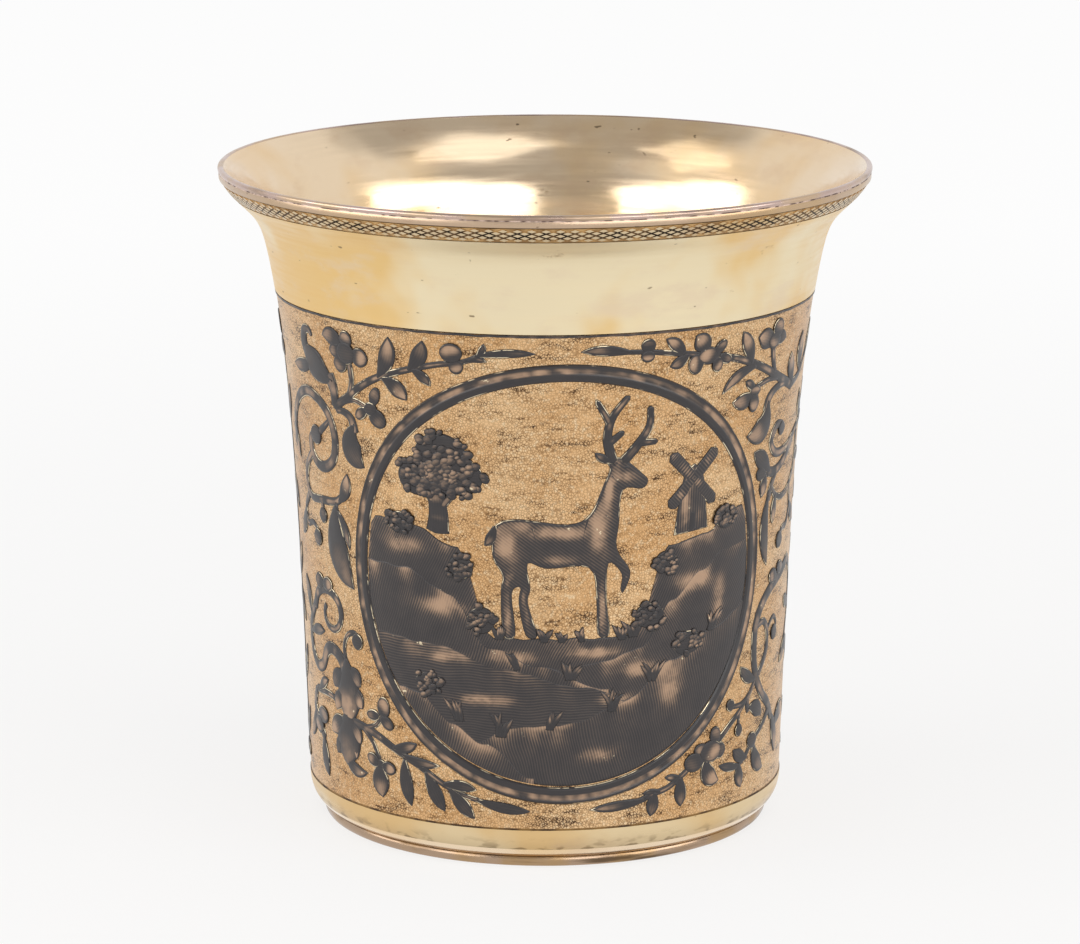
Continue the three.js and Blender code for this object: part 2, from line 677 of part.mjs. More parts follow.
// The stag and the windmill are an outline with stems for antlers or sails, and the cottage has no stems.
const frontScene = {
  skyline: [
    [-27, 41.4], [-19, 41], [-13, 38.8], [-8.8, 28.2], [8.2, 28.2], [12.4, 38.6], [18, 39.4], [21, 41.6],
    [27, 42],
  ],
  oak: {
    trunk: [[[-15.4, 40.2], [-15.2, 42.6], [-15.6, 46]], 2.4, 1.4],
    crown: [
      [-17.6, 46.8, 3.2, 2.6], [-12.4, 47.2, 3.2, 2.6], [-14.8, 49.6, 3.8, 3], [-15.2, 46.6, 3.2, 2.2],
    ],
  },
  stag: {
    outline: [
      [-8.7, 40.8], [-7.8, 42.1], [-5.4, 42.5], [0, 41.9], [2.5, 43], [4.1, 46.6], [4.7, 48.5], [3.6, 49.7],
      [5.5, 49.7], [6.6, 49.3], [8.7, 47.5], [9.4, 46.6], [8.7, 45.7], [6.4, 45.7], [6, 41.9], [5.8, 38.7],
      [7.5, 35.9], [6.7, 33.5], [6.3, 33.9], [6.4, 35.7], [4.8, 37], [4.7, 32.4], [5.1, 28.6], [3.6, 28.6],
      [3.4, 32.7], [2.5, 36.6], [-2.4, 36.6], [-4.6, 37.2], [-4.3, 34.3], [-4.6, 32.4], [-3.5, 28.6],
      [-4.9, 28.6], [-5.7, 32.4], [-5.5, 34.3], [-6.5, 33.5], [-6.1, 28.6], [-7.6, 28.6], [-7.8, 33.8],
      [-7.6, 35.7], [-8.7, 37.8],
    ],
    stems: [
      [[[5.2, 48.9], [4.4, 51.7], [4.9, 54.4], [6.8, 56.9]], 1, 0.6],
      [[[4.4, 51.2], [6.3, 52.7]], 0.8, 0.5],
      [[[4.7, 53.6], [3, 56.6]], 0.8, 0.5],
      [[[6.2, 49], [7.9, 50.9], [9.3, 53.1], [9.3, 55.5]], 1, 0.6],
      [[[8.2, 51.2], [10.4, 51.2]], 0.8, 0.5],
    ],
  },
  windmill: {
    outline: [
      [12.9, 39.6], [13.8, 45.6], [14.2, 47.2], [15.4, 48], [16.6, 47.2], [17, 45.6], [17.8, 40],
    ],
    stems: [
      [[[12.2, 43], [15.4, 46.2], [18.6, 49.4]], 1.2, 1.2],
      [[[18.6, 43], [15.4, 46.2], [12.2, 49.4]], 1.2, 1.2],
    ],
  },
};

const backScene = {
  skyline: [[-27, 43], [-20, 43.4], [-12, 41], [-4, 38.2], [4, 37], [11, 38], [18, 39.6], [27, 39]],
  cottage: {
    outline: [
      [-8.6, 40.6], [-8.6, 45], [-10, 45], [-6.4, 49.2], [-1.4, 49.2], [-1.4, 50.6], [-0.2, 50.6],
      [-0.2, 48.6], [3, 45], [1.6, 45], [1.6, 38.4], [-3, 38.9],
    ],
    stems: [],
  },
  firs: [[12.4, 38.9, 11.4, 7], [16.8, 39.9, 8, 5.4], [8.4, 38.2, 7.4, 4.8]],
};

addPiece('cup_wall', makeCupWall(), gilt);
addPiece('base_disc', makeBaseDisc(), gilt);
addPiece('foot_ring', makeFootRing(), wornSilver);
addPiece('rim_wire', makeRimWire(), wornSilver);
addPiece('milled_band', makeMilledBand(), paleGilt);
addPiece('upper_border_line', makeBorderLine(), niello);

const back = Math.PI;
addPiece('front_frame', makeFrame(0), niello);
addPiece('front_land', makeLand(frontScene.skyline, 0), niello);
addPiece('front_oak', makeBroadTree(frontScene.oak, 0), niello);
addPiece('front_stag', makeFigure(frontScene.stag, 0), niello);
addPiece('front_windmill', makeFigure(frontScene.windmill, 0), niello);
addPiece('back_frame', makeFrame(back), niello);
addPiece('back_land', makeLand(backScene.skyline, back), niello);
addPiece('back_cottage', makeFigure(backScene.cottage, back), niello);
addPiece('back_firs', makeFirs(backScene.firs, back), niello);

for (const [side, rows] of Object.entries(sprays)) {
  for (const [row, spray] of Object.entries(rows)) {
    addPiece(`${side}_front_${row}`, makeSpray(spray, false), niello);
    addPiece(`${side}_back_${row}`, makeSpray(spray, true), niello);
  }
}

addPiece('left_stalk', makeStalk(stalk, -Math.PI / 2), niello);
addPiece('right_stalk', makeStalk(stalk, Math.PI / 2), niello);

export default beaker;
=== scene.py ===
import math
import random
import bmesh
import bpy
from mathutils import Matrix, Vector, noise


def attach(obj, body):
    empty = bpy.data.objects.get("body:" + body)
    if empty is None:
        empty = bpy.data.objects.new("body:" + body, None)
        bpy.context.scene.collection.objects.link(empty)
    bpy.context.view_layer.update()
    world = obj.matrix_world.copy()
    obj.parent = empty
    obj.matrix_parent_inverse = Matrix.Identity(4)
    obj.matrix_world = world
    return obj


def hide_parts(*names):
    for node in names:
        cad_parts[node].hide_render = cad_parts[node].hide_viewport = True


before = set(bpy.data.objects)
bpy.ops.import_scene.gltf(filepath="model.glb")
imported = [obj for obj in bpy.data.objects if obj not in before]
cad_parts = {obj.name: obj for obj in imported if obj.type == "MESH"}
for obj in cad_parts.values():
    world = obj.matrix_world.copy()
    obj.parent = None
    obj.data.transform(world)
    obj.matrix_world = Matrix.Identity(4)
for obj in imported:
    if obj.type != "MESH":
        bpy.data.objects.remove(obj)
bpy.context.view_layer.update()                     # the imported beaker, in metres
mm = 0.001
print("frame loaded:", len(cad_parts), "nodes")

# The raised wall in millimetres: a slight taper, a long flare and a lip that turns out quickly
wall = {
    "footRadius": 28.5, "taper": 0.029, "flareReach": 4.66, "flareLength": 15,
    "lipReach": 3.45, "lipHeight": 74.93, "lipLength": 1.12,
    "seat": 1.3, "panelBottom": 4.9, "panelTop": 64.4, "bandBottom": 75.75, "rimSeat": 77.6,
    "shoulderRadius": 27, "shoulderDrop": 2.5, "innerCorner": 26.45, "flangeWidth": 1.4,
    "insideFlareFrom": 69, "insideFlareLength": 5.12,
    "thickness": 1.1, "backing": 0.42, "groundDepth": 0.1, "grimeLine": 0.22, "bandDepth": 0.45,
    "steps": 256, "shoulderRows": 10, "panelRows": 60, "plainRows": 36, "insideRows": 40,
}
unrolledRadius = 30                   # the ornament is drawn on the wall unrolled at this radius


def wallRadius(z):
    flare = wall["flareReach"] * math.exp((z - wall["rimSeat"]) / wall["flareLength"])
    lip = wall["lipReach"] / (1 + math.exp((wall["lipHeight"] - z) / wall["lipLength"]))
    return wall["footRadius"] + wall["taper"] * z + flare + lip


def sheetInside(z):
    slope = wallRadius(z + 0.5) - wallRadius(z - 0.5)
    return wallRadius(z) - wall["thickness"] * math.hypot(1, slope) - wall["backing"]


# The inside follows the sheet and then flares smoothly up to the rim
def insideRadius(z):
    start, length = wall["insideFlareFrom"], wall["insideFlareLength"]
    if z <= start:
        return sheetInside(z)
    slope = sheetInside(start + 0.5) - sheetInside(start - 0.5)
    return sheetInside(start) + slope * length * (math.exp((z - start) / length) - 1)


def onWall(s, z, rise, side="front"):
    angle = s / unrolledRadius
    turns = {"front": angle, "back": angle + math.pi, "mirrored": math.pi - angle,
             "left": angle - math.pi / 2, "right": angle + math.pi / 2}
    radius = (wallRadius(z) + rise) * mm
    return Vector((radius * math.sin(turns[side]), -radius * math.cos(turns[side]), z * mm))


def ease(low, high, value):
    t = min(1, max(0, (value - low) / (high - low)))
    return t * t * (3 - 2 * t)


def spread(low, high, steps):
    return [low + (high - low) * i / steps for i in range(steps + 1)]


# Finishes

def hexColour(code):
    parts = [int(code[i:i + 2], 16) / 255 for i in (1, 3, 5)]
    return [p / 12.92 if p <= 0.04045 else ((p + 0.055) / 1.055) ** 2.4 for p in parts] + [1]


def perMetre(size):
    return 1 / (size * mm)            # a pattern's scale from its size in millimetres


# A node with its settings. Its inputs are given in order, each as a link or a value.
def addNode(tree, kind, *inputs, out=None, **settings):
    node = tree.nodes.new("ShaderNode" + kind)
    for name, value in settings.items():
        setattr(node, name, value)
    used = [socket for socket in node.inputs if socket.enabled]
    for socket, value in zip(used, inputs):
        if isinstance(value, bpy.types.NodeSocket):
            tree.links.new(value, socket)
        else:
            socket.default_value = value
    return node.outputs[out] if out else next(socket for socket in node.outputs if socket.enabled)


smooth = {"interpolation_type": "SMOOTHSTEP"}
ofColours = {"data_type": "RGBA"}
times = {"operation": "MULTIPLY"}
bumpFilter = 0.1                      # the Bump node's own default, between its distance and its height


def newFinish(name):
    finish = bpy.data.materials.new(name)
    finish.use_nodes = True
    tree = finish.node_tree
    return finish, tree, tree.nodes["Principled BSDF"].inputs, addNode(tree, "TexCoord", out="Object")


# Colours laid over a base, each where its pattern rises from low to high, and up to its share
def layered(tree, base, *layers):
    colour = base
    for pattern, low, high, share, code in layers:
        amount = addNode(tree, "MapRange", pattern, low, high, 0, share, **smooth)
        colour = addNode(tree, "Mix", amount, colour, hexColour(code), **ofColours)
    return colour


# Burnished mercury gilding on silver: a soft pale gold mirror, yellower where the gilding lies thicker and
# dull where rubbing has worn it, with fine polishing lines round the cup, brown stains and small dark
# specks. It can carry painted shade, deeper gold towards the cup's left and right sides and paler in front
# and behind, be uneven in its surface, and be spotted brown below a height, brown grime with painted shade
# near the foot.
def makeBurnishedGilt(name, pale, deep, dull, roughness, dents=0.0, sideShadeStrength=0.0, shadeAndGrimeTop=0.0):
    finish, tree, shader, coords = newFinish(name)
    lines = addNode(tree, "VectorMath", coords, (0.05, 0.05, 1), **times)
    level = addNode(tree, "VectorMath", coords, (0.45, 0.45, 1), **times)
    mirrored = addNode(tree, "VectorMath", coords, (-1, 1, 1), **times)
    patch = addNode(tree, "TexNoise", mirrored, perMetre(15), 3)
    polish = addNode(tree, "TexNoise", lines, perMetre(0.5), 4)
    smear = addNode(tree, "TexNoise", level, perMetre(4), 6, 0.6)
    stain = addNode(tree, "TexNoise", level, perMetre(3), 6, 0.72)
    speck = addNode(tree, "TexNoise", level, perMetre(0.9), 2)
    dent = addNode(tree, "TexNoise", coords, perMetre(9), 1)
    # Painted shade: the gold is deeper towards the cup's left and right sides and paler in front and behind
    aside = addNode(tree, "Math", addNode(tree, "SeparateXYZ", coords, out="X"), operation="ABSOLUTE")
    sideShade = addNode(tree, "MapRange", aside, 10 * mm, 26 * mm, -sideShadeStrength, sideShadeStrength, **smooth)
    thicknessAndSideShade = addNode(tree, "Math", patch, sideShade, operation="ADD")
    colour = layered(tree, hexColour(pale), (thicknessAndSideShade, 0.4, 0.64, 1, deep), (smear, 0.5, 0.72, 0.55, dull))
    # Painted shade mixed with brown grime: darker brown in patches towards the foot, for the floor's shadow
    # that the band reflects
    if shadeAndGrimeTop:
        height = addNode(tree, "SeparateXYZ", coords, out="Z")
        low = addNode(tree, "MapRange", height, wall["seat"] * mm, shadeAndGrimeTop * mm, 1, 0, **smooth)
        spots = addNode(tree, "MapRange", speck, 0.5, 0.64, 0.3, 1, **smooth)
        grime = addNode(tree, "Math", low, spots, **times)
        colour = addNode(tree, "Mix", grime, colour, hexColour("#503619"), **ofColours)
    colour = layered(tree, colour, (stain, 0.66, 0.76, 0.55, "#94744c"), (speck, 0.72, 0.77, 0.7, "#5d4a33"))
    rough = addNode(tree, "MapRange", polish, 0.3, 0.7, roughness - 0.05, roughness + 0.07, **smooth)
    uneven = addNode(tree, "Bump", 1, dents * mm, bumpFilter, dent)
    brushed = addNode(tree, "Bump", 0.12, 0.02 * mm, bumpFilter, polish, uneven)
    tree.links.new(colour, shader["Base Color"])
    tree.links.new(rough, shader["Roughness"])
    tree.links.new(brushed, shader["Normal"])
    shader["Metallic"].default_value = 1
    return finish


# Matted gilding: the ground between the inlays, struck all over with a ring punch, so that it is a tan
# gold of small grains with painted glints in pale specks and brown gaps, which grime fills in level streaks
def makeMattedGilt():
    finish, tree, shader, coords = newFinish("matted_gilt")
    level = addNode(tree, "VectorMath", coords, (0.3, 0.3, 1), **times)
    grain = addNode(tree, "TexVoronoi", coords, perMetre(0.31), feature="DISTANCE_TO_EDGE")
    cloud = addNode(tree, "TexNoise", coords, perMetre(9), 4)
    speck = addNode(tree, "TexNoise", coords, perMetre(0.5), 3)
    grime = addNode(tree, "TexNoise", level, perMetre(1.3), 6, 0.7)
    gap = addNode(tree, "MapRange", grain, 0.02, 0.2, 1, 0, **smooth)
    # The pale specks are painted glints
    colour = layered(tree, hexColour("#d7ab79"), (cloud, 0.35, 0.65, 1, "#e4bf91"),
                     (speck, 0.5, 0.72, 0.45, "#f4e3c0"))
    film = addNode(tree, "MapRange", grime, 0.3, 0.6, 0.3, 0.8, **smooth)
    brown = addNode(tree, "Math", gap, film, **times)
    colour = addNode(tree, "Mix", brown, colour, hexColour("#805c38"), **ofColours)
    hollow = addNode(tree, "MapRange", gap, 0.2, 0.9, 0.25, 0.9, **smooth)
    streak = addNode(tree, "MapRange", grime, 0.53, 0.64, **smooth)
    dirt = addNode(tree, "Math", hollow, streak, **times)
    colour = addNode(tree, "Mix", dirt, colour, hexColour("#3d2c24"), **ofColours)
    punched = addNode(tree, "Bump", 0.35, 0.09 * mm, bumpFilter, grain)
    tree.links.new(colour, shader["Base Color"])
    tree.links.new(punched, shader["Normal"])
    shader["Metallic"].default_value = 1
    shader["Roughness"].default_value = 0.36
    return finish


# Silver with its gilding rubbed away: a pinkish grey mirror with gold left in patches and brown in the
# streaks
def makeWornSilver(name, pale, golden, brown, share):
    finish, tree, shader, coords = newFinish(name)
    lines = addNode(tree, "VectorMath", coords, (0.08, 0.08, 1), **times)
    streak = addNode(tree, "TexNoise", lines, perMetre(0.8), 4)
    patch = addNode(tree, "TexNoise", coords, perMetre(5), 4)
    colour = layered(tree, hexColour(pale), (patch, 0.4, 0.62, 1, golden), (streak, 0.5, 0.7, share, brown))
    rough = addNode(tree, "MapRange", patch, 0.3, 0.7, 0.2, 0.34, **smooth)
    tree.links.new(colour, shader["Base Color"])
    tree.links.new(rough, shader["Roughness"])
    shader["Metallic"].default_value = 1
    return finish


# Tarnish left in hollows that no cloth reaches: dull brown, in dashes where it is broken
def makeTarnish(name, dark, light, size):
    finish, tree, shader, coords = newFinish(name)
    patch = addNode(tree, "TexNoise", coords, perMetre(size), 5)
    tree.links.new(layered(tree, hexColour(dark), (patch, 0.4, 0.6, 1, light)), shader["Base Color"])
    shader["Metallic"].default_value = 0.7
    shader["Roughness"].default_value = 0.5
    return finish


# Niello: a black silver sulphide polished flush. It is charcoal with combed tool lines,
# worn to warm brown where the engraver left it thin, with a bright cut edge of bare gilt.
# The mesh says how far a point is from the edge, how thin the fill is, where the lines run and how deep
# they are combed.
niello = {"outline": 0.06, "cutEdge": 0.14, "darkLine": 0.42, "linePitch": 0.33,
          "marks": ("inset", "glow", "hatch", "comb")}


def makeNiello():
    finish, tree, shader, coords = newFinish("niello")
    inset, glow, hatch, comb = (addNode(tree, "Attribute", out="Fac", attribute_name=mark)
                                for mark in niello["marks"])
    outline, cutEdge = niello["outline"], niello["cutEdge"]
    cloud = addNode(tree, "TexNoise", coords, perMetre(2.2), 5)
    chips = addNode(tree, "TexNoise", coords, perMetre(0.8), 4)
    cutSide = addNode(tree, "TexNoise", coords, perMetre(3), 2)
    phase = addNode(tree, "Math", hatch, 2 * math.pi / niello["linePitch"], **times)
    wave = addNode(tree, "Math", phase, operation="SINE")
    ridge = addNode(tree, "MapRange", wave, -0.6, 0.8, **smooth)
    line = addNode(tree, "Math", ridge, comb, **times)
    faint = addNode(tree, "Math", line, 0.5, **times)
    dark = addNode(tree, "Mix", cloud, hexColour("#1b191d"), hexColour("#302b2a"), **ofColours)
    dark = addNode(tree, "Mix", faint, dark, hexColour("#4d4440"), **ofColours)
    patchy = addNode(tree, "MapRange", cloud, 0.25, 0.7, 0.5, 1.15, **smooth)
    thin = addNode(tree, "Math", glow, patchy, **times)
    groove = addNode(tree, "MapRange", wave, -0.6, 0.8, 0.42, 0, **smooth)
    cut = addNode(tree, "Math", comb, groove, **times)
    between = addNode(tree, "Math", thin, cut, operation="SUBTRACT")
    middle = addNode(tree, "MapRange", inset, cutEdge, niello["darkLine"], **smooth)
    inner = addNode(tree, "Math", between, middle, **times)
    colour = layered(tree, dark, (inner, 0, 1, 1, "#a4866c"))
    edgeStart = addNode(tree, "MapRange", inset, outline * 0.7, outline * 1.3, **smooth)
    edgeEnd = addNode(tree, "MapRange", inset, cutEdge * 0.85, cutEdge * 1.15, 1, 0, **smooth)
    along = addNode(tree, "MapRange", cutSide, 0.5, 0.6, **smooth)
    broken = addNode(tree, "MapRange", chips, 0.38, 0.5, **smooth)
    bright = edgeStart
    for part in (edgeEnd, along, broken):
        bright = addNode(tree, "Math", bright, part, **times)
    flaked = addNode(tree, "MapRange", chips, 0.68, 0.73, **smooth)
    onThin = addNode(tree, "MapRange", glow, 0.3, 0.7, **smooth)
    chipped = addNode(tree, "Math", flaked, onThin, **times)
    bare = addNode(tree, "Math", bright, chipped, operation="MAXIMUM")
    colour = addNode(tree, "Mix", bare, colour, hexColour("#e6d5b4"), **ofColours)
    rough = addNode(tree, "MapRange", cloud, 0.3, 0.7, 0.3, 0.46, **smooth)
    combed = addNode(tree, "Bump", 0.25, 0.03 * mm, bumpFilter, line)
    tree.links.new(colour, shader["Base Color"])
    tree.links.new(bare, shader["Metallic"])
    tree.links.new(rough, shader["Roughness"])
    tree.links.new(combed, shader["Normal"])
    return finish


burnishedGilt = makeBurnishedGilt("burnished_gilt", "#e9d9b6", "#e4c184", "#dfcaae", 0.36, sideShadeStrength=0.11)
shoulderGilt = makeBurnishedGilt("shoulder_gilt", "#dcc59d", "#d8b682", "#c8ac8a", 0.32, shadeAndGrimeTop=4.3)
insideGilt = makeBurnishedGilt("inside_gilt", "#e8d1b2", "#e5c69b", "#dabd9c", 0.17, dents=0.25)
milledGilt = makeBurnishedGilt("milled_gilt", "#d2bd9a", "#c9ab7c", "#b59c80", 0.28)
stripGilt = makeBurnishedGilt("rim_strip_gilt", "#bfa68d", "#c0a37d", "#a98b72", 0.26)
mattedGilt = makeMattedGilt()
lipSilver = makeWornSilver("lip_silver", "#c2aaa0", "#c4aa8e", "#7d665c", 0.6)
footSilver = makeWornSilver("foot_silver", "#a99079", "#a98b67", "#54422f", 0.85)
tarnish = makeTarnish("tarnished_seam", "#4a3726", "#8a6a3e", 2.5)
brokenLine = makeTarnish("tarnished_scratches", "#66514a", "#cbb3a4", 1.1)
darkHollow = makeTarnish("dark_hollow", "#2a2018", "#6a5238", 2)
lightHollow = makeTarnish("light_hollow", "#94734a", "#bf9b68", 2)
nielloFill = makeNiello()
print("finishes made")


# Building

sharpFrom = 35                        # degrees between faces
mergeWithin = 0.001                   # millimetres


def addPiece(name, bm, finishes, slot, *nodes, thickness=0):
    mesh = bpy.data.meshes.new(name)
    bm.to_mesh(mesh)
    bm.free()
    for finish in finishes:
        mesh.materials.append(finish)
    mesh.shade_smooth()
    mesh.set_sharp_from_angle(angle=math.radians(sharpFrom))
    piece = bpy.data.objects.new(name, mesh)
    bpy.context.scene.collection.objects.link(piece)
    if thickness:
        shell = piece.modifiers.new("fill_depth", "SOLIDIFY")
        shell.thickness = thickness * mm
        shell.offset = -1
    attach(piece, "root")
    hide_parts(*nodes)
    return piece


# A line of (radius, height) points turned about the axis, closed on itself unless it ends on the axis
def turned(outline, steps, closed=True):
    bm = bmesh.new()
    verts = [bm.verts.new((r * mm, 0, z * mm)) for r, z in outline]
    pairs = zip(verts, verts[1:] + (verts[:1] if closed else []))
    edges = [bm.edges.new(pair) for pair in pairs]
    bmesh.ops.spin(bm, geom=verts + edges, cent=(0, 0, 0), axis=(0, 0, 1),
                   angle=2 * math.pi, steps=steps, use_merge=True)
    bmesh.ops.remove_doubles(bm, verts=bm.verts[:], dist=mergeWithin * mm)
    bmesh.ops.recalc_face_normals(bm, faces=bm.faces[:])
    return bm


# Cup wall: burnished shoulder and upper band, matted panel between them with a line of grime along its
# bottom edge, gilt inside
def makeCup():
    bottom, top, seat = wall["panelBottom"], wall["panelTop"], wall["seat"]
    full = wallRadius(bottom)
    corner = bottom - wall["shoulderDrop"]
    shoulder = []
    for t in spread(0, 1, wall["shoulderRows"]):
        shoulder.append(((1 - t) ** 2 * wall["shoulderRadius"] + (1 - (1 - t) ** 2) * full,
                         (1 - t) ** 2 * seat + 2 * t * (1 - t) * corner + t * t * bottom))
    depth = wall["groundDepth"]
    lineTop = bottom + wall["grimeLine"]
    rows = [bottom + depth] + spread(lineTop, top - depth, wall["panelRows"])
    ground = [(wallRadius(z) - depth, z) for z in rows]
    plain = [(wallRadius(z), z) for z in spread(top, wall["bandBottom"], wall["plainRows"])]
    behindBand = [(wallRadius(z) - wall["bandDepth"], z) for z in (wall["bandBottom"], wall["rimSeat"])]
    flare = spread(wall["rimSeat"], wall["insideFlareFrom"], wall["insideRows"])
    straight = spread(wall["insideFlareFrom"], bottom, wall["insideRows"])
    inside = [(insideRadius(z), z) for z in flare + straight[1:]]
    flange = seat + wall["thickness"]
    hole = wall["innerCorner"] - wall["flangeWidth"]
    foot = [(wall["innerCorner"], flange), (hole, flange), (hole, seat)]
    bm = turned(shoulder + ground + plain + behindBand + inside + foot, wall["steps"])
    finishes = [burnishedGilt, mattedGilt, insideGilt, shoulderGilt, tarnish]
    for face in bm.faces:
        middle = face.calc_center_median() / mm
        finish = burnishedGilt
        if middle.xy.length <= wallRadius(middle.z) - wall["thickness"] / 2:
            finish = insideGilt
        elif middle.z < bottom:
            finish = shoulderGilt
        elif middle.z < lineTop:
            finish = tarnish
        elif middle.z < top:
            finish = mattedGilt
        face.material_index = finishes.index(finish)
    addPiece("gilt_cup", bm, finishes, "gilt", "cup_wall")


# Base disc: a plain gilt sheet soldered on the turned-in flange
baseDisc = {"bottom": 2.45, "thickness": 0.9, "radius": 26.35, "edge": 0.2, "rings": 12, "steps": 128}


def makeBase():
    low, radius, edge = baseDisc["bottom"], baseDisc["radius"], baseDisc["edge"]
    high = low + baseDisc["thickness"]
    flat = spread(0, radius - edge, baseDisc["rings"])
    outline = [(r, low) for r in flat]
    outline += [(radius, low + edge), (radius, high - edge)]
    outline += [(r, high) for r in reversed(flat)]
    bm = turned(outline, baseDisc["steps"], closed=False)
    addPiece("gilt_base", bm, [insideGilt], "gilt", "base_disc")


# Foot ring: half-round wire with a line of tarnish along its seam
footRing = {"radius": 26.95, "bulge": 0.35, "width": 1.6, "height": 1.25, "seamShare": 0.12, "rows": 14}


def makeFoot():
    bulge, height = footRing["bulge"], footRing["height"]
    edge = [(footRing["radius"] - bulge + bulge * math.sin(a), height * (1 - math.cos(a)) / 2)
            for a in spread(0, math.pi, footRing["rows"])]
    inner = footRing["radius"] - footRing["width"]
    bm = turned(edge + [(inner, height), (inner, 0)], wall["steps"])
    seamFrom = height * (1 - footRing["seamShare"])
    for face in bm.faces:
        face.material_index = int(face.calc_center_median().z / mm > seamFrom)
    addPiece("silver_foot", bm, [footSilver, tarnish], "worn_silver", "foot_ring")


# Rim wire: a flat pale strip under a rounded silver lip, with a scratched line between them, as
# [step out from the wall, height]. Its inside carries on the curve of the cup's inside and its gilding.
rimWire = {
    "outside": [[-0.02, 77.62], [0.1, 77.65], [0.16, 77.7], [0.18, 77.76], [0.21, 78.4], [0.18, 78.45],
                [0.18, 78.5], [0.22, 78.55], [0.28, 78.66], [0.3, 78.8], [0.27, 78.94], [0.17, 79.05],
                [0.03, 79.1], [-0.2, 79.1], [-0.3, 79.07]],
    "lipTop": 78.98, "seam": 77.7, "scratches": [78.4, 78.56], "insideRows": 12,
}


def makeRim():
    seat = wall["rimSeat"]
    outer = wallRadius(seat)
    lipTop = rimWire["lipTop"]
    inside = [(insideRadius(z), z) for z in spread(lipTop, seat, rimWire["insideRows"])]
    outline = [(outer + out, z) for out, z in rimWire["outside"]] + inside
    bm = turned(outline, wall["steps"])
    low, high = rimWire["scratches"]
    finishes = [lipSilver, insideGilt, stripGilt, tarnish, brokenLine]
    for face in bm.faces:
        middle = face.calc_center_median() / mm
        finish = lipSilver
        if middle.xy.length < insideRadius(lipTop) and middle.z < lipTop:
            finish = insideGilt
        elif middle.z < rimWire["seam"]:
            finish = tarnish
        elif middle.z < low:
            finish = stripGilt
        elif middle.z < high:
            finish = brokenLine
        face.material_index = finishes.index(finish)
    addPiece("silver_rim", bm, finishes, "worn_silver", "rim_wire")


# Milled band: a rolled strip whose face is a net of lozenges, in rows that interlock.
# Its hollows are dark in the middle rows and rubbed lighter above and below.
milledBand = {"bottom": 75.8, "top": 77.55, "rows": 5, "around": 150, "backing": 0.35, "face": -0.08,
              "faceRows": 8, "filled": 0.88, "crown": 0.76, "stand": 0.1, "dark": (76.2, 77.1)}


def makeMilledBand():
    low, high = milledBand["bottom"], milledBand["top"]
    face = [(wallRadius(z) + milledBand["face"], z) for z in spread(low, high, milledBand["faceRows"])]
    backing = [(wallRadius(z) - milledBand["backing"], z) for z in (high, low)]
    bm = turned(face + backing, wall["steps"])
    finishes = [milledGilt, darkHollow, lightHollow]
    darkFrom, darkTo = milledBand["dark"]
    for strip in bm.faces:
        inDark = darkFrom < strip.calc_center_median().z / mm < darkTo
        strip.material_index = finishes.index(darkHollow if inDark else lightHollow)
    halfTall = (high - low) / (milledBand["rows"] + 1)
    around = milledBand["around"]
    for row in range(milledBand["rows"]):
        middle = low + halfTall * (row + 1)
        for place in range(around):
            for vert in bmesh.ops.create_cube(bm, size=2)["verts"]:
                size = milledBand["filled"] * (milledBand["crown"] if vert.co.z > 0 else 1)
                along, up = size * (vert.co.x - vert.co.y) / 2, size * (vert.co.x + vert.co.y) / 2
                z = middle + halfTall * up
                radius = (wallRadius(z) + milledBand["face"] + milledBand["stand"] * vert.co.z) * mm
                angle = 2 * math.pi * (place + (row % 2 + along) / 2) / around
                vert.co = Vector((radius * math.sin(angle), -radius * math.cos(angle), z * mm))
    bmesh.ops.recalc_face_normals(bm, faces=bm.faces[:])
    piece = addPiece("milled_strip", bm, finishes, "pale_gilt", "milled_band")
    piece.data.shade_flat()


makeCup()
makeBase()
makeFoot()
makeRim()
makeMilledBand()
print("metal pieces made")


# Niello drawing. A fill is a sheet on the unrolled wall, wrapped round it and given its depth by a
# modifier. Its marks are what the niello finish reads.
fill = {"sunk": -0.085, "face": -0.02, "crown": 0.04, "crownReach": 1.2, "depth": 0.2, "bevel": 0.16,
        "edgeCrowding": 1.4, "thinnest": 0.02, "comb": 0.1, "barComb": 0.9,
        "leafGrid": (18, 8), "petalGrid": (14, 8), "smallGrid": (8, 4)}


def addMarks(bm):
    return {name: bm.verts.layers.float.new(name) for name in niello["marks"]}


def setMarks(vert, layers, **values):
    for name, value in values.items():
        vert[layers[name]] = value


def newFill():
    bm = bmesh.new()
    return bm, addMarks(bm)


def addFill(node, bm):
    addPiece("niello_" + node, bm, [nielloFill], "niello", node, thickness=fill["depth"])


# The face of a fill rises from the ground over a short bevel and swells a little towards its middle
def fillRise(inset, reach):
    edge = ease(0, fill["bevel"], inset)
    swell = fill["crown"] * ease(0, fill["crownReach"], inset) * reach
    return fill["sunk"] + (fill["face"] - fill["sunk"]) * edge + swell


# A strip follows a line from 0 to 1 with a half width at each place. The shade says how thin its fill is,
# and bars comb it across. Small strokes that lie on another fill have no cut edge of their own.
def addStrip(bm, layers, side, line, halfWidth, shade, grid, lift, cut, bars=0.0):
    margin = 0 if cut else niello["cutEdge"] * 1.2
    comb = fill["barComb" if bars else "comb"]
    for vert in bmesh.ops.create_grid(bm, x_segments=grid[0], y_segments=grid[1], size=1)["verts"]:
        along, across = (vert.co.x + 1) / 2, vert.co.y
        across = math.copysign(1 - (1 - abs(across)) ** fill["edgeCrowding"], across)
        place, normal = line(along)
        half = max(halfWidth(along), fill["thinnest"])
        inset = (1 - abs(across)) * half
        s, z = place + normal * half * across
        hatch = along * bars if bars else across * half
        setMarks(vert, layers, inset=inset + margin, glow=shade(along, across), hatch=hatch, comb=comb)
        vert.co = onWall(s, z, fillRise(inset, 1) + lift, side)


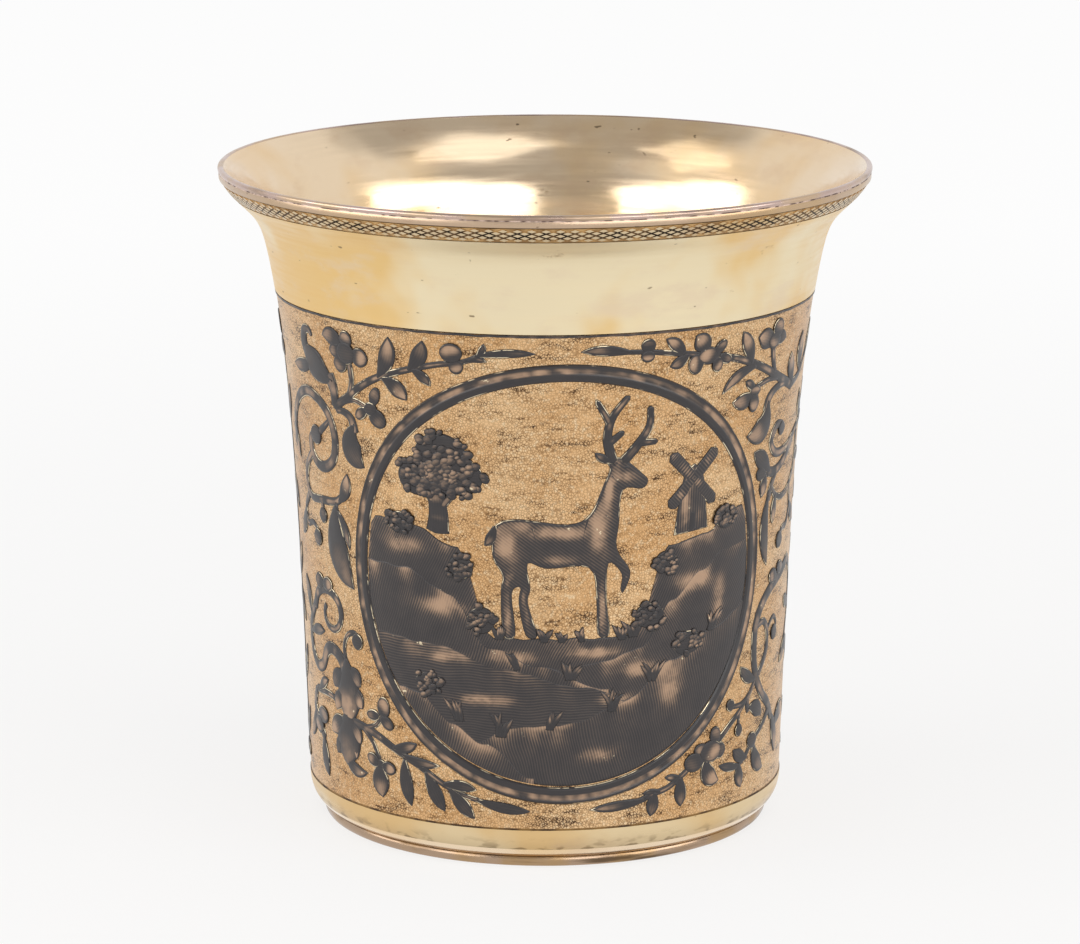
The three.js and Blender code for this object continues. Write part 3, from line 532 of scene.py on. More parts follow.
def splinePlace(points, along):
    reach = along * (len(points) - 1)
    i = min(int(reach), len(points) - 2)
    t = reach - i
    a, b, c, d = (Vector(points[min(max(k, 0), len(points) - 1)]) for k in (i - 1, i, i + 1, i + 2))
    bend = 2 * a - 5 * b + 4 * c - d
    twist = 3 * b - a - 3 * c + d
    return b + (c - a) * t / 2 + bend * t * t / 2 + twist * t ** 3 / 2


# How far the niello is worn from place to place, in soft clouds
wear = {"alongScale": 0.83, "upScale": 0.71, "slice": 3.3, "softness": 0.45}


def toneAt(s, z, low=0.0, high=1.0):
    cloud = noise.noise(Vector((s * wear["alongScale"], z * wear["upScale"], wear["slice"])))
    return low + (high - low) * ease(-wear["softness"], wear["softness"], cloud)


# A stem narrows at both ends and is worn along its middle
stemForm = {"fullness": 1.3, "columns": 6, "rows": 6, "tipShare": 0.3, "tipSpeed": 4, "wear": (-0.3, 1)}


def addStem(bm, layers, side, stem, lift=0.0, tone=0.75, bars=0.0, cut=True):
    points, startWidth, endWidth = stem
    grid = stemForm["columns"] * (len(points) - 1), stemForm["rows"]

    def line(along):
        ahead = splinePlace(points, min(along + 0.01, 1)) - splinePlace(points, max(along - 0.01, 0))
        return splinePlace(points, along), Vector((-ahead.y, ahead.x)).normalized()

    def half(along):
        tip = min(along, 1 - along) * stemForm["tipSpeed"] * len(points)
        full = (startWidth + (endWidth - startWidth) * along) * stemForm["fullness"] / 2
        return full * min(1, stemForm["tipShare"] + tip)

    def shade(along, across):
        s, z = splinePlace(points, along)
        return tone * (1 - across * across) * toneAt(s, z, *stemForm["wear"])

    addStrip(bm, layers, side, line, half, shade, grid, lift, cut, bars)


# A leaf is dark where it leaves its narrow neck and worn thin towards its tip, beyond its widest place
leafForm = {"widest": 0.58, "base": 1.15, "tip": 0.9, "fullness": 0.64, "neck": 0.25,
            "wear": (0.15, 1.1), "wornFrom": (0.3, 0.78)}


def addLeaf(bm, layers, side, leaf, lift, cut=True):
    baseS, baseZ, tipS, tipZ, width, bow = leaf
    base, tip = Vector((baseS, baseZ)), Vector((tipS, tipZ))
    sideways = Vector((baseZ - tipZ, tipS - baseS)).normalized()
    tone = toneAt(tipS, tipZ, *leafForm["wear"])

    def line(along):
        ahead = (tip - base) + sideways * 4 * bow * (1 - 2 * along)
        place = base.lerp(tip, along) + sideways * 4 * bow * along * (1 - along)
        return place, Vector((-ahead.y, ahead.x)).normalized()

    def half(along):
        swell = (along / leafForm["widest"]) ** leafForm["base"]
        point = ((1 - along) / (1 - leafForm["widest"])) ** leafForm["tip"]
        return leafForm["fullness"] * width * swell * point + leafForm["neck"] * (1 - along) ** 3

    def shade(along, across):
        return tone * ease(*leafForm["wornFrom"], along) * (1 - across * across)

    addStrip(bm, layers, side, line, half, shade, fill["leafGrid" if cut else "smallGrid"], lift, cut)


# A petal is dark at the flower's heart and worn thin at its outer end. A round one by itself is its own
# heart, and is worn evenly.
petalForm = {"flowerReach": 3.6, "heartReach": 0.3, "fuller": 0.08, "wear": (0.35, 1.15),
             "wornFrom": (-0.6, 0.5), "heartWear": -0.35}


def addPetal(bm, layers, side, petal, heart, lift, cut=True):
    s, z, halfLength, halfHeight, *tilt = petal
    middle = Vector((s, z))
    turn = math.radians(tilt[0]) if tilt else 0
    ahead, aside = Vector((math.cos(turn), math.sin(turn))), Vector((-math.sin(turn), math.cos(turn)))
    single = (middle - heart).length <= petalForm["heartReach"]
    outward = (middle - heart).normalized()
    tone = toneAt(s, z, *petalForm["wear"])

    def line(along):
        return middle - ahead * halfLength * math.cos(math.pi * along), aside

    def half(along):
        return (halfHeight + petalForm["fuller"]) * math.sin(math.pi * along)

    def shade(along, across):
        offset = -ahead * math.cos(math.pi * along) + aside * across * math.sin(math.pi * along)
        dome = 1 - min(1, offset.length) ** 3
        reach = petalForm["heartWear"] if single else offset.dot(outward)
        return tone * dome * ease(*petalForm["wornFrom"], reach)

    addStrip(bm, layers, side, line, half, shade, fill["petalGrid" if cut else "smallGrid"], lift, cut)


def flowerHeart(petal, petals):
    middles = [Vector(other[:2]) for other in petals]
    near = [middle for middle in middles if (middle - Vector(petal[:2])).length < petalForm["flowerReach"]]
    return sum(near, Vector((0, 0))) / len(near)


# Neighbours that overlap lie at different heights
sprayLift = {"leaf": 0.02, "leafStep": 0.004, "leafSteps": 4,
             "petal": 0.045, "petalStep": 0.012, "petalSteps": 5}


def addSpray(bm, layers, side, stems, leaves, petals):
    for stem in stems:
        addStem(bm, layers, side, stem)
    for i, leaf in enumerate(leaves):
        lift = sprayLift["leaf"] + sprayLift["leafStep"] * (i % sprayLift["leafSteps"])
        addLeaf(bm, layers, side, leaf, lift)
    for i, petal in enumerate(petals):
        lift = sprayLift["petal"] + sprayLift["petalStep"] * (i % sprayLift["petalSteps"])
        addPetal(bm, layers, side, petal, flowerHeart(petal, petals), lift)


# The sprays and scrolls beside the front medallion, in millimetres on the unrolled wall.
# Stems are points with a start and an end width. Leaves are base, tip, width and bow.
# Petals are middle, half length, half height and tilt.
sprays = {
    "left_upper_spray": {
        "stems": [
            [[[-30.2, 53.2], [-27.6, 54.8], [-25.2, 56.5], [-22.4, 58], [-19, 59.2], [-15, 60.3],
              [-11.6, 60.9], [-9.7, 61.8]], 0.9, 0.45],
            [[[-27.4, 54.8], [-26.5, 57], [-26.8, 59.8]], 0.6, 0.8],
            [[[-28.4, 54.1], [-26.4, 54.7], [-24, 54]], 0.5, 0.6],
            [[[-29.8, 52.9], [-28.4, 53], [-27.1, 52.3], [-26.7, 50.6]], 0.5, 1.2],
            [[[-30, 53.2], [-29.9, 55.3], [-30.7, 57.2]], 0.8, 1.8],
            [[[-34.6, 58.4], [-35.5, 60.2], [-35, 61.7], [-34, 61.9], [-33.4, 61.2]], 1.6, 0.5],
        ],
        "leaves": [
            [-22.4, 58, -20.5, 63.1, 1.7, -0.5], [-18.2, 59.4, -16.2, 63.1, 1.5, -0.45],
            [-21.8, 58, -18.6, 55.7, 1.6, 0.3], [-17.7, 59.5, -15.5, 57.7, 1, 0.2],
            [-10, 61.6, -9.2, 63.2, 0.7, -0.2], [-10.1, 61.7, -3.6, 62.1, 0.8, 0.2],
            [-11, 61, -8.9, 61, 0.6, 0.3], [-27.4, 61, -31, 61.8, 1.7, -0.5],
            [-26.6, 51.8, -25.4, 46.7, 2.6, -1.5], [-29.9, 56.4, -35.5, 60, 2.9, 0.6],
            [-33.8, 58, -39.4, 57, 1.4, 0.3],
        ],
        "petals": [
            [-26.8, 61.9, 0.95, 1], [-24.9, 60, 1.25, 1.1], [-28.8, 60.3, 1, 0.8], [-28.1, 58.8, 1.1, 1],
            [-27, 60.2, 1.4, 1.3], [-23.1, 55.6, 0.75, 1.15, -25], [-22.9, 53, 1.35, 1, -35],
            [-25.3, 53.3, 1.1, 0.65, 35], [-23.8, 54, 0.95, 0.8], [-12.9, 61.9, 1.3, 1.1],
            [-12.4, 60.3, 0.85, 0.85],
        ],
    },
    "left_middle_scroll": {
        "stems": [
            [[[-42.2, 46.2], [-41.8, 49.8], [-39.6, 52.6], [-36.6, 54.1], [-34, 53.8], [-31.9, 52.6],
              [-30.8, 50.8], [-30.5, 48.8], [-31.1, 46.8], [-32.8, 45.6], [-34.8, 45.6], [-36.2, 46.9],
              [-36.2, 48.4], [-35, 49.2]], 1.1, 1.1],
            [[[-31.4, 51.4], [-32.6, 50.5], [-34, 49.5]], 0.5, 0.8],
            [[[-36.2, 46.7], [-38, 45], [-38.6, 42.8], [-37.4, 41.2], [-34.4, 41.3], [-31.4, 41.6],
              [-30, 42.3]], 0.9, 0.8],
            [[[-34.4, 41.4], [-34.3, 39.4]], 0.6, 0.7],
            [[[-38, 41.5], [-39.7, 39.4], [-39.3, 37.5], [-37.6, 37.9], [-36, 37.3]], 0.8, 0.5],
        ],
        "leaves": [
            [-30.5, 41.8, -28.6, 45.5, 1.5, -0.5], [-31, 41.6, -28.3, 31.5, 3.2, -1.8],
            [-31, 40.6, -28.8, 36.2, 1, 0.4], [-41.9, 49.4, -40.6, 45.2, 1.2, -0.3],
            [-39.6, 39.6, -42, 35.6, 1.4, 0.3],
        ],
        "petals": [[-34.8, 49.1, 1.25, 1.15], [-34.3, 39.4, 0.9, 0.9], [-36.1, 36.4, 1.05, 1]],
    },
    "left_lower_spray": {
        "stems": [
            [[[-38.4, 27.2], [-37.4, 29.2], [-35.6, 30.2], [-33.6, 30.2], [-31.9, 29.3], [-31.3, 27.7],
              [-32, 26.2], [-33.4, 25.7], [-34.9, 26.2], [-35.4, 27.5], [-34.8, 28.4]], 1.1, 0.6],
            [[[-38.2, 28], [-40.3, 25], [-40.2, 22], [-38.6, 20.3], [-36.6, 20.6], [-35.3, 22.6],
              [-33.7, 23.2], [-31.8, 22.4], [-30.8, 20.6]], 1, 1.4],
            [[[-30.4, 21.4], [-30.9, 23.8], [-30.2, 25.5], [-28.9, 26.1], [-27.9, 25.7]], 0.6, 0.6],
            [[[-31.4, 16.6], [-35, 17.3], [-39.5, 17.1]], 0.6, 0.8],
            [[[-39.2, 17.2], [-40.2, 14.8], [-38.6, 13], [-37, 11.2]], 0.9, 1.2],
            [[[-30.4, 15.3], [-27, 14.8], [-24.5, 14.1], [-22, 13], [-19.5, 12], [-17.5, 11],
              [-15.5, 9.9], [-13.2, 8.9], [-10.4, 8.2]], 0.9, 0.5],
            [[[-27.6, 14.8], [-25.4, 15.5], [-24.2, 16.8]], 0.5, 0.6],
            [[[-27.8, 14.9], [-26, 13.4], [-25, 11.6], [-24.7, 10.4]], 0.55, 0.6],
        ],
        "leaves": [
            [-40.2, 24, -35.6, 24.9, 1.1, 0.2], [-31.6, 11.4, -27, 9.3, 1.3, -1.1],
            [-38.2, 17.1, -35.2, 19, 1.1, 0.2], [-37.3, 11.8, -36.1, 6.8, 1.7, -0.4],
            [-22.6, 13.3, -18.9, 14.3, 1.1, -0.3], [-21.2, 12.7, -15.7, 12, 0.9, -0.3],
            [-15.4, 9.8, -11, 9.5, 1.1, 0.2], [-20.8, 12.2, -19.9, 6.5, 1.5, -0.3],
            [-17.8, 11.1, -15.2, 6.5, 1.5, -0.1], [-14.6, 9.5, -11.3, 6, 1.4, -0.1],
            [-11, 8.3, -4.4, 7.2, 1, -0.2], [-24.8, 11, -24.4, 6.8, 2.2, -0.2],
            [-40, 26, -42, 30.6, 1.4, -0.3], [-39.6, 15, -42.4, 10.4, 1.3, 0.3],
            [-31.2, 20.8, -33.6, 18.6, 1.9, -0.3], [-31.2, 18.4, -33.2, 15.8, 1.8, -0.3],
            [-30.4, 21.4, -27.9, 19.6, 1.8, 0.3], [-30.2, 19, -27.6, 17, 1.9, 0.3],
            [-31, 14.9, -34.6, 12.8, 2, -0.3], [-30.8, 14.8, -28.1, 12.6, 1.9, 0.3],
            [-31.2, 12.6, -33.4, 10.4, 1.7, -0.3], [-30.8, 12.6, -29, 10.6, 1.6, 0.3],
            [-30.7, 22.8, -30.6, 14.6, 3.6, 0.3], [-30.7, 16.6, -31.2, 9.4, 3.9, 0.2],
        ],
        "petals": [
            [-36.4, 31, 1.2, 0.95], [-34.2, 31, 1.2, 0.85],
            [-28.1, 25.2, 1, 0.95], [-37.2, 14.2, 1.5, 1], [-38.6, 12.8, 1.4, 1.1],
            [-23.9, 17.9, 1, 1.3], [-25.7, 16.7, 1.1, 0.65], [-23.4, 16.1, 1.1, 0.7, -30],
            [-25.9, 11.2, 1.1, 0.75, -25], [-23.3, 10.6, 1.1, 0.75, -10], [-24.6, 10.6, 0.9, 0.8],
        ],
    },
    "right_upper_spray": {
        "stems": [
            [[[34, 54.2], [31, 55.4], [28.4, 56.6], [25.4, 58], [22.4, 59.2], [19.4, 60.1], [16, 60.8],
              [12.4, 61.4], [9, 61.9], [5.6, 62.1]], 1, 0.45],
            [[[28.5, 56.5], [27.7, 58.4], [27.2, 60.4]], 0.6, 0.8],
            [[[29.4, 56], [27, 56.2], [24.6, 55.7]], 0.5, 0.6],
            [[[32, 55], [29.4, 54.9], [27.6, 53.9], [27.1, 52.2]], 0.6, 1.2],
            [[[33.4, 54.4], [36.4, 55.2], [39.6, 57.4]], 0.9, 0.6],
        ],
        "leaves": [
            [6.8, 62, 1.2, 62.3, 1, -0.2], [13.2, 61.2, 10.7, 63.3, 1.2, -0.2],
            [13.7, 61.2, 11.4, 59.9, 1.1, 0.2], [16.2, 61, 14.4, 63.3, 1.8, -0.2],
            [23.4, 58.7, 21.2, 62.9, 1.5, -0.2], [27.4, 60.3, 24, 61.7, 2, -0.3],
            [27.2, 60.5, 30.2, 60.7, 1.4, 0.4], [24.2, 58.3, 18.8, 55.7, 1.1, -0.7],
            [24.6, 55.2, 20.5, 54.5, 1.6, 0.5], [24.4, 55.4, 22.5, 56.7, 0.9, -0.1],
            [27.4, 53.6, 23.5, 49.9, 2.5, 1.7], [36.6, 55.4, 36.2, 60.4, 1.8, 0.5],
            [39, 56.8, 41.6, 61, 1.5, -0.3], [34, 54.6, 32.6, 58.6, 1.6, 0.4],
        ],
        "petals": [
            [8.7, 62.7, 0.85, 0.75], [8.7, 61.4, 0.8, 0.65], [18, 61.6, 1, 0.6, 40],
            [18.8, 60.1, 1, 0.6, -20], [17.7, 59.5, 0.75, 0.9], [14.7, 59.9, 1, 1.2], [16.4, 60.7, 1.5, 1],
            [27.9, 62.3, 1.1, 1.1], [27.3, 60.9, 1.2, 1], [24.3, 53.9, 0.9, 1.1], [24.4, 55.3, 1, 0.7],
        ],
    },
    "right_middle_scroll": {
        "stems": [
            [[[42.2, 49.4], [38, 48.4], [34, 46.9], [30.6, 46.7], [29, 48.3], [30.2, 50.1],
              [32.2, 49.7]], 0.9, 0.9],
            [[[36.4, 47.6], [33, 45.3], [30.4, 44.5], [28.2, 44.9]], 1, 1],
            [[[31.2, 44.6], [29.8, 42.8], [29.2, 41]], 0.7, 0.9],
            [[[29.8, 42.8], [31.2, 41.4], [33.6, 40.9], [36.4, 41.8], [38.8, 44.6], [38.6, 48]], 0.6, 0.9],
            [[[36.2, 41.8], [37.4, 39], [36.2, 36.9], [34.4, 36.7], [33.6, 35.7]], 0.8, 0.6],
        ],
        "leaves": [
            [29.2, 44.6, 25.2, 47.7, 1.8, -0.2], [28, 44.9, 27.4, 41.8, 1.3, 0.1],
            [29.3, 41.8, 29.8, 33.1, 1.6, -0.9], [31.2, 41.6, 30.8, 38, 1.2, -0.1],
            [40.4, 48.9, 38.6, 53, 1.7, 0.4], [37, 39.4, 41.2, 36.4, 1.5, -0.3],
            [38.4, 44.4, 42, 44.6, 1.3, 0.2],
        ],
        "petals": [[27, 44.8, 1, 0.8], [33.4, 35.5, 1, 1], [31.6, 49.5, 0.9, 0.8]],
    },
    "right_lower_spray": {
        "stems": [
            [[[38.6, 32.4], [35, 31.2], [31.4, 30], [29, 28.3], [27.8, 26.2], [27.6, 24], [27.8, 21.7],
              [28.6, 19.4], [30.2, 17.3], [32.2, 15.6], [33.8, 13.4]], 1.2, 1],
            [[[28, 26], [29.8, 26.3], [31, 24.8], [30.8, 22.2], [28.8, 19.8]], 0.7, 0.8],
            [[[30.9, 25], [32.8, 26.2], [34, 25.2], [33.2, 24.2]], 0.5, 0.5],
            [[[28.4, 19.8], [27, 18], [25.2, 17.1], [23.4, 17.1]], 0.6, 0.5],
            [[[26.9, 18], [26.5, 16.8], [27, 15.8]], 0.6, 0.8],
            [[[26.4, 17.6], [24.8, 16.2], [23, 15], [20.2, 12.9]], 0.5, 0.8],
            [[[24.8, 16.4], [24.7, 14.2]], 0.45, 0.5],
            [[[16.6, 11.2], [14.8, 10], [13, 9], [11, 8.5], [9, 7.8]], 0.6, 0.6],
            [[[25, 9.6], [26.4, 10.3], [28, 11.8], [30.5, 13.2], [32.6, 14.8]], 0.5, 0.8],
            [[[38.2, 32.4], [40.6, 29.8], [41, 25.4], [39, 21.6]], 0.9, 0.6],
        ],
        "leaves": [
            [28.2, 19.6, 24.7, 21.8, 1.3, 0.5], [26.8, 16.2, 30.2, 14.6, 1.6, 0.5],
            [19, 11.8, 21.2, 8.6, 1.9, -1], [14.8, 10, 12.6, 10.3, 0.7, 0], [14.9, 10, 15, 6.4, 1.4, 0],
            [12, 8.7, 9.6, 8.7, 0.6, -0.1], [11.3, 8.7, 10.7, 5.8, 1.3, 0], [10, 8, 2.8, 7.3, 0.95, 0.1],
            [25.4, 9.5, 21.1, 10.3, 0.9, 0.2], [25.1, 9.8, 25.7, 6.7, 1.4, -0.2],
            [26.8, 10.2, 23.8, 11.7, 1.3, 0.3], [28.4, 11.6, 31.3, 7.9, 1.7, -0.8],
            [33.6, 14, 35.8, 8.6, 1.7, 0.4], [39.6, 22.6, 36.4, 19.6, 1.5, 0.3],
            [40.8, 26.4, 37.2, 27.6, 1.4, 0.3], [34.6, 12, 40.4, 13.6, 1.8, 0.6],
        ],
        "petals": [
            [31.9, 31.4, 1.2, 0.9], [34.2, 32, 1.1, 0.8], [33.2, 24.2, 0.9, 0.9], [22.9, 17.4, 0.75, 0.7],
            [24.7, 14, 0.7, 0.75], [20.3, 14.2, 0.9, 1.1], [18, 12.9, 1.1, 0.7], [16.9, 11.5, 1.5, 1.1],
            [21.1, 12.3, 1, 1], [19.6, 12.4, 1.8, 1.3], [27.9, 12, 1.1, 1], [39.4, 21.4, 1, 1],
        ],
    },
}

# Half of the stalk midway between the medallions, mirrored about its own axis
stalk = {
    "stem": [[[0, 7.4], [0, 20], [0, 34], [0, 48], [0, 60]], 0.7, 0.7],
    "leaves": [
        [0, 9.6, 3, 13.6, 1.4, -0.3], [0, 16.4, 3.2, 21.4, 1.5, -0.4], [0, 28, 3.2, 24.2, 1.4, 0.3],
        [0, 29.4, 2.8, 34, 1.4, -0.3], [0, 42, 3.2, 38.2, 1.4, 0.3], [0, 48.6, 2.8, 53.4, 1.5, -0.4],
    ],
    "petals": [[1, 57.4, 1.2, 0.9, 35], [0, 60.4, 0.9, 1.5, 0], [1, 7.8, 1.1, 0.8, -30]],
}


def makeSprays():
    for name, spray in sprays.items():
        hand, row = name.split("_", 1)
        for place, side in (("front", "front"), ("back", "mirrored")):
            bm, layers = newFill()
            addSpray(bm, layers, side, spray["stems"], spray["leaves"], spray["petals"])
            if side == "mirrored":
                bmesh.ops.reverse_faces(bm, faces=bm.faces[:])
            addFill(f"{hand}_{place}_{row}", bm)


def makeStalks():
    leaves = stalk["leaves"] + [[-s, z, -tip, tipZ, width, -bow]
                                for s, z, tip, tipZ, width, bow in stalk["leaves"]]
    petals = stalk["petals"] + [[-s, z, a, b, -tilt] for s, z, a, b, tilt in stalk["petals"] if s]
    for side in ("left", "right"):
        bm, layers = newFill()
        addSpray(bm, layers, side, [stalk["stem"]], leaves, petals)
        addFill(side + "_stalk", bm)


# Border line above the panel, cut by hand and so a little uneven
borderLine = {"bottom": 64.02, "top": 64.28, "depth": 0.28, "waver": 0.07, "waverLength": 1.4,
              "inset": 0.5, "glow": 0.3, "rows": 4, "steps": 512}


def makeBorderLine():
    low, high = borderLine["bottom"], borderLine["top"]
    outline = [(wallRadius(z), z) for z in spread(low, high, borderLine["rows"])]
    outline += [(wallRadius(z) - borderLine["depth"], z) for z in (high, low)]
    bm = turned(outline, borderLine["steps"])
    layers = addMarks(bm)
    for vert in bm.verts:
        glow = borderLine["glow"] * toneAt(vert.co.x / mm, vert.co.y / mm)
        setMarks(vert, layers, inset=borderLine["inset"], glow=glow)
        vert.co.z += borderLine["waver"] * mm * noise.noise(vert.co / (borderLine["waverLength"] * mm))
    addPiece("niello_border_line", bm, [nielloFill], "niello", "upper_border_line")


# Medallion frame: an outer and an inner dark fillet with a worn brown band in the hollow between them,
# each from one inset to another
medallion = {
    "centre": -0.3, "middle": 34.5, "halfWidth": 27.5, "halfHeight": 26.4, "frame": 2.1, "spacing": 0.35,
    "rise": 0.2, "hollow": 0.55, "outerRise": (0, 0.22), "hollowFall": (0.36, 0.6), "hollowRise": (1, 1.26),
    "innerFall": (1.78, 2.1), "bandStart": (0.3, 0.62), "bandEnd": (0.98, 1.3),
    "wear": (0.15, 0.85), "wearScale": 1.2, "grid": (220, 21),
}


def frameRise(inset):
    hollow = ease(*medallion["hollowFall"], inset) - ease(*medallion["hollowRise"], inset)
    raised = ease(*medallion["outerRise"], inset) - ease(*medallion["innerFall"], inset)
    return fill["sunk"] + medallion["rise"] * (raised - medallion["hollow"] * hollow)


def makeFrame(side):
    bm, layers = newFill()
    width, scale = medallion["frame"], medallion["wearScale"]
    columns, rows = medallion["grid"]
    for vert in bmesh.ops.create_grid(bm, x_segments=columns, y_segments=rows, size=1)["verts"]:
        angle = math.pi * vert.co.x
        inset = width * (1 - vert.co.y) / 2
        s = medallion["centre"] + (medallion["halfWidth"] - inset) * math.cos(angle)
        z = medallion["middle"] + (medallion["halfHeight"] - inset) * math.sin(angle)
        band = ease(*medallion["bandStart"], inset) * (1 - ease(*medallion["bandEnd"], inset))
        setMarks(vert, layers, inset=min(inset, width - inset), comb=fill["comb"], hatch=inset,
                 glow=band * toneAt(s * scale, z * scale, *medallion["wear"]))
        vert.co = onWall(s, z, frameRise(inset), side)
    bmesh.ops.remove_doubles(bm, verts=bm.verts[:], dist=0.002 * mm)
    bmesh.ops.reverse_faces(bm, faces=bm.faces[:])
    addFill(side + "_frame", bm)


# Land: banks one in front of the other, each a crest of [s, z] points over combed strokes.
# Strokes fall from the crest with a lean, or lie level as on water.
land = {
    "front": [
        {"crest": [[-27, 41.4], [-19, 41], [-13, 38.8], [-8.8, 28.2], [8.2, 28.2], [12.4, 38.6],
                   [18, 39.4], [21, 41.6], [27, 42]], "lean": 0.5, "worn": 0.8},
        {"crest": [[-3, 23.6], [4, 25.4], [9, 26.6], [13, 32], [17, 35], [21, 37.2], [27, 38]],
         "lean": -0.6, "worn": 0.9},
        {"crest": [[-27, 36], [-20, 35.8], [-14, 33.2], [-9.5, 27.2], [-3, 24.8], [5, 22]],
         "lean": 0.35, "worn": 0.9},
        {"crest": [[-27, 27.6], [-16, 27], [-8, 24.6], [2, 22.4], [9, 20]], "lean": None, "worn": 0.5},
        {"crest": [[-13, 15], [-6, 17.4], [0, 18], [7, 20.4], [13, 24.6], [19, 27.6], [27, 31]],
         "lean": -0.25, "worn": 0.9},
        {"crest": [[-23, 21.6], [-18, 20.6], [-14, 17.6], [-10, 15.4], [-4, 11.4]], "lean": 0.3, "worn": 1},
    ],
    "back": [
        {"crest": [[-27, 43], [-20, 43.4], [-12, 41], [-4, 38.2], [4, 37], [11, 38], [18, 39.6], [27, 39]],
         "lean": -0.5, "worn": 0.8},
        {"crest": [[-27, 35], [-18, 36], [-8, 33], [2, 31.4], [12, 32.6], [27, 35]],
         "lean": 0.4, "worn": 0.9},
        {"crest": [[-9, 24], [0, 27], [10, 27.4], [20, 26.6], [27, 26]], "lean": None, "worn": 0.55},
        {"crest": [[-27, 30], [-17, 27.4], [-8, 22.6], [0, 18], [8, 15.6], [15, 16]],
         "lean": 0.3, "worn": 0.9},
    ],
    "columns": 72, "rows": 24, "layerLift": 0.018, "strokeWave": 0.3, "roughness": 0.3,
    "reach": 0.998, "leastHeight": 0.05, "crowding": 1.6, "edgeRise": 0.02, "comb": 0.6, "edge": 0.13,
    "litDepth": 1.3, "crestWear": (0.1, 1.2), "spotWear": 1.1, "leastWear": 0.1,
    "worn": {                         # [s, z, half length, half height, share]
        "front": [[-6, 25.8, 2.6, 0.7, 0.9], [3, 26.4, 3, 0.6, 1], [9, 24, 2, 0.8, 0.9],
                  [-15, 31.6, 3, 1, 0.8], [-20, 38.4, 2.4, 0.9, 0.8], [16, 33.8, 3, 1, 0.8],
                  [20, 31, 1, 2.4, 0.8], [-10, 20.6, 3.4, 0.6, 0.8], [4, 14, 2.6, 0.8, 0.6],
                  [13, 21.4, 1.3, 2.2, 0.8], [-15, 25.4, 3, 0.6, 0.6], [6, 20.6, 2, 0.6, 0.7]],
        "back": [[-14, 38.6, 3, 0.8, 0.9], [2, 34.6, 3.4, 0.7, 1], [12, 35.6, 2.6, 0.7, 0.8],
                 [-12, 31, 2.8, 0.9, 0.8], [6, 25.4, 3.4, 0.6, 0.7], [-10, 22.6, 2.6, 0.8, 0.9],
                 [4, 15.4, 2.4, 0.7, 0.8]],
    },
}

# Growth that softens the banks: bushes as [s, z, half length, half height], tufts of grass as [s, z, height]
growth = {
    "front": {
        "bushes": [[-10.2, 30.2, 2, 1.8], [-12.6, 36.4, 1.8, 1.6], [10, 30.4, 2.2, 1.7],
                   [12, 36.6, 1.7, 1.5], [-20.4, 41, 2.2, 1.5], [20.6, 40.8, 2, 1.5],
                   [-17, 22, 2.2, 1.6], [15.4, 26.4, 2.4, 1.7]],
        "tufts": [[-8, 28.2, 1.6], [-2.6, 28, 1.5], [-0.6, 28, 1.1], [1.6, 28, 1.7], [6.6, 28, 1.6],
                  [8, 28.2, 2], [-6, 24.6, 2], [0.4, 23.4, 2.2], [-8, 16.4, 3], [-2, 17.4, 2.4],
                  [5.4, 19.4, 2.8], [10.4, 22.6, 2.4], [-13, 18, 2.6], [18.6, 27.6, 2.6]],
    },
    "back": {
        "bushes": [[-16, 41.6, 2.4, 1.7], [6, 37.4, 1.8, 1.2], [-12, 27, 2.4, 1.7], [17, 27, 2.2, 1.5]],
        "tufts": [[-2, 37.6, 1.4], [4.6, 36.8, 1.3], [-14, 26.4, 2.4], [-4, 20.6, 2.6], [4, 17, 2.6],
                  [12, 27, 2]],
    },
    "masses": 26, "massSize": (0.3, 0.55), "bushLift": 0.17, "tuftLift": 0.12, "liftStep": 0.006,
    "blades": 6, "bladeWidth": 0.42, "bladeBow": 0.12, "bladeSpread": 0.35, "bladeHeight": (0.6, 1),
    "lean": 0.7, "rooted": 0.2, "seed": 9,
}

# A clump of leaves: small masses, lit from above on the left, over a core that is sunk a little
clumpForm = {"core": 0.85, "coreSunk": 0.1, "spread": 0.95, "flatness": 0.7, "tilt": 40,
             "shadedFrom": (0.5, -0.9), "liftStep": 0.006, "liftSteps": 8}


def addMasses(bm, layers, side, draw, clump, count, sizes, lift):
    s, z, halfLength, halfHeight = clump
    core = [s, z, halfLength * clumpForm["core"], halfHeight * clumpForm["core"]]
    addPetal(bm, layers, side, core, Vector((s, z)), lift - clumpForm["coreSunk"])
    for i in range(count):
        angle, reach = draw.uniform(0, 2 * math.pi), math.sqrt(draw.uniform(0, clumpForm["spread"]))
        step = Vector((halfLength * reach * math.cos(angle), halfHeight * reach * math.sin(angle)))
        middle = Vector((s, z)) + step
        size = draw.uniform(*sizes)
        tilt = draw.uniform(-clumpForm["tilt"], clumpForm["tilt"])
        mass = [middle.x, middle.y, size, size * clumpForm["flatness"], tilt]
        rise = clumpForm["liftStep"] * (i % clumpForm["liftSteps"])
        addPetal(bm, layers, side, mass, middle + Vector(clumpForm["shadedFrom"]), lift + rise, cut=False)


def addGrowth(bm, layers, side):
    draw = random.Random(growth["seed"])
    for clump in growth[side]["bushes"]:
        addMasses(bm, layers, side, draw, clump, growth["masses"], growth["massSize"], growth["bushLift"])
    for s, z, height in growth[side]["tufts"]:
        for blade in range(growth["blades"]):
            lean = growth["lean"] * height * draw.uniform(-1, 1)
            start = s + draw.uniform(-growth["bladeSpread"], growth["bladeSpread"]) * height / 2
            tall = height * draw.uniform(*growth["bladeHeight"])
            leaf = [start, z - growth["rooted"], start + lean, z + tall, growth["bladeWidth"],
                    lean * growth["bladeBow"]]
            lift = growth["tuftLift"] + growth["liftStep"] * blade
            addLeaf(bm, layers, side, leaf, lift, cut=False)


